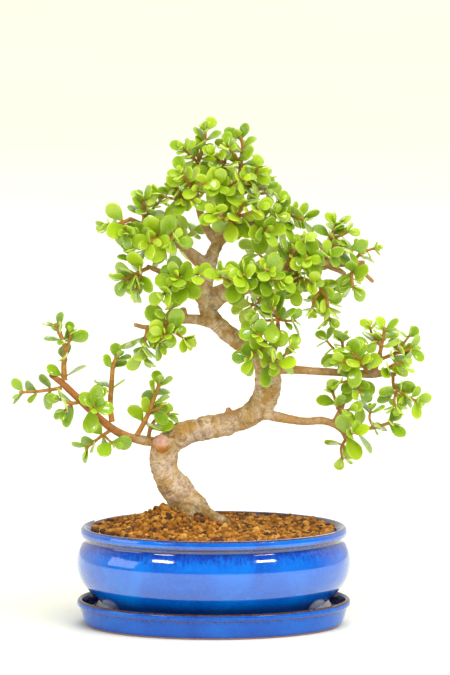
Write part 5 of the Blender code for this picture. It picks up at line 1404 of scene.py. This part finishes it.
def fine_stem(stem, root):
    """A close-set line with radii along a stem, and how far along and how near a joint each point is."""
    out, distance = [], stem.start
    thin = max(stem.thin, stem.thick * (0.72 if root else 0.62))
    while distance <= stem.total + 0.9:
        share = min(1.0, (distance - stem.start) / (stem.total - stem.start))
        radius = (stem.thick + (thin - stem.thick) * share) * 1.12
        joint = max([math.exp(-((distance - n) / JOINT_HALF) ** 2) for n in stem.nodes], default=0.0)
        point, heading = along(stem.line, distance)
        if distance > stem.total:
            point = stem.line[-1] + heading * (distance - stem.total)
        out.append((point, radius * (0.9 + 0.26 * joint), share, joint))
        distance += STEM_STEP
    if root:
        first, heading = out[0], (out[1][0] - out[0][0]).normalized()
        flare = [(first[0] - heading * back, first[1] * wide, 0.0, 0.4) for back, wide in ((1.5, 1.1), (0.7, 1.04))]
        out = flare + out
    return out


MARKS = ("tone", "under", "rim", "foot", "tip", "joint", "cut")


def build_shoot(name, stems, grid, leaf_faces, looks):
    points, faces, kinds = [], [], []
    marks = {key: [] for key in MARKS}

    def add(made, skin, kind, **values):
        base = sum(map(len, points))
        faces.extend(tuple(base + i for i in f) for f in skin)
        points.append(made)
        kinds.extend([kind] * len(skin))
        for key in MARKS:
            marks[key].append(values.get(key, np.zeros(len(made))))

    t, _, _, x, z = grid.T
    dice = random.Random(stems[0].seed * 3 + 11)
    # a random tone for each shoot, and painted shade that makes the low left shoots' leaves darker
    shoot_tone_and_shade = dice.uniform(-0.1, 0.1) - (0.13 if name.startswith("low_left") else 0.0)
    for order, stem in enumerate(stems):
        rows = fine_stem(stem, order == 0)
        made, skin = tube([(p, r) for p, r, _, _ in rows], STEM_COLUMNS)
        ends = (0.6, 1.0) if stem.seed % 3 == 0 else (0.0, 0.0)
        values = {"tip": [s for _, _, s, _ in rows] + [1.0], "joint": [j for _, _, _, j in rows] + [0.0],
                  "cut": [0.0] * (len(rows) - 1) + list(ends)}
        values = {key: np.repeat(value, STEM_COLUMNS) for key, value in values.items()}
        add(np.array([tuple(p) for p in made]), skin, 1, **values)
        for leaf in stem.leaves + stem.extras:
            made = leaf_points(grid, leaf, dice)
            small = 1 - min(1.0, leaf[1] / 13)
            tone = 0.42 + shoot_tone_and_shade + dice.uniform(-0.2, 0.2) + 0.35 * small
            add(made, leaf_faces, 0, tone=tone + 0.14 * (np.clip(t, 0, 1) - 0.5), under=np.where(z < -0.2, 1.0, 0.0),
                rim=step(0.75, 1.0, np.abs(x)) * step(0.2, 0.5, t), foot=step(0.12, 0.0, t))
    piece = name + "_leaves"
    marks = {key: np.concatenate(values) for key, values in marks.items()}
    mesh = mesh_of(piece, np.concatenate(points), faces)
    finish_piece(piece, mesh, looks, "shoot_" + name, marks, kinds)


def build_shoots():
    grid, leaf_faces = leaf_template()
    looks = [leaf_look(), stem_look()]
    for name, stems in plan_shoots().items():
        build_shoot(name, stems, grid, leaf_faces, looks)


# ---- the studio ----
def build_floor(radii=(45.0, 12.0, 3.0, 0.5), sides=40):
    """A wide round floor at the tray's underside, in metres."""
    turns = [2 * math.pi * i / sides for i in range(sides)]
    points = [(r * math.cos(a), r * math.sin(a), 0.0) for r in radii for a in turns] + [(0.0, 0.0, 0.0)]
    mesh = bpy.data.meshes.new("studio_floor")
    tip = len(points) - 1
    mesh.from_pydata(points, [], ring_faces(len(radii), sides) + fan(tip - sides, sides, tip))
    mesh.materials.append(floor_look())
    floor = linked("studio_floor", mesh)


def world_light():
    """Even pale light, with a dim side in front of the object for glossy surfaces to show."""
    world = bpy.data.worlds.new("studio")
    bpy.context.scene.world = world
    world.use_nodes = True
    tree = world.node_tree
    sky = tree.nodes["Background"]
    sky.inputs["Color"].default_value = (1.0, 0.99, 0.95, 1)
    aim, where, side, rays, pick = [
        tree.nodes.new("ShaderNode" + kind) for kind in ("SeparateXYZ", "TexCoord", "MapRange", "LightPath", "Mix")]
    shares = {"From Min": -0.15, "From Max": 0.35, "To Min": WORLD_LIGHT * 0.35, "To Max": WORLD_LIGHT * 2.2}
    for name, value in shares.items():
        side.inputs[name].default_value = value
    pick.inputs[2].default_value = WORLD_LIGHT
    for start, end in (
        (where.outputs["Generated"], aim.inputs[0]), (aim.outputs["Y"], side.inputs["Value"]),
        (rays.outputs["Is Glossy Ray"], pick.inputs[0]), (side.outputs["Result"], pick.inputs[3]),
        (pick.outputs[0], sky.inputs["Strength"]),
    ):
        tree.links.new(start, end)


def lamp(name, kind, heading, **settings):
    """A light that shines from a heading. settings are the lamp's own."""
    data = bpy.data.lights.new(name, kind)
    for key, value in settings.items():
        setattr(data, key, value)
    obj = linked(name, data)
    obj.rotation_euler = Vector(heading).to_track_quat("Z", "Y").to_euler()
    return obj


def build_lights():
    sun = lamp("overhead", "SUN", (0.3, -0.5, 1.0), energy=SUN_LIGHT, angle=math.radians(60), color=(1.0, 0.99, 0.97))
    sun.visible_glossy = False
    for name, x, y, z, width, height, power in (
        ("front_left", -1.5, -1.9, 1.5, 0.7, 0.11, 9),
        ("front_right", 1.5, -1.8, 1.5, 0.6, 0.10, 8),
        ("behind", 0.4, 2.0, 1.7, 1.6, 0.9, 16),
        ("above", 0.1, 0.35, 2.6, 1.5, 1.1, 6),
        ("left_window", -2.3, -0.75, 0.75, 1.3, 0.9, 6),
    ):
        box = lamp(name, "AREA", (x, y, z - 0.15), shape="RECTANGLE", size=width, size_y=height, energy=power)
        box.location = (x, y, z)


def build_camera():
    target = Vector((LOOK_ACROSS * MM, 0, CAD_BOX[0][2] + LOOK_HEIGHT * MM))
    tilt = math.radians(CAMERA_TILT)
    camera = bpy.data.cameras.new("photo_view")
    camera.sensor_fit, camera.sensor_height = "VERTICAL", SENSOR_TALL
    camera.lens = SENSOR_TALL * CAMERA_AWAY / FRAME_TALL
    camera.clip_end = 200
    obj = linked("photo_view", camera)
    obj.location = target + Vector((0, -math.cos(tilt), math.sin(tilt))) * (CAMERA_AWAY * MM)
    obj.rotation_euler = (math.pi / 2 - tilt, 0, 0)
    bpy.context.scene.camera = obj


def main():
    bpy.context.scene.view_settings.view_transform = "Standard"
    build_camera()
    build_floor()
    world_light()
    build_lights()
    build_tray()
    build_pot()
    wood = build_wood(bark_look())
    build_soil(wood, soil_look("soil_granules", lambda s: s.mark("tone")))
    build_shoots()


main()
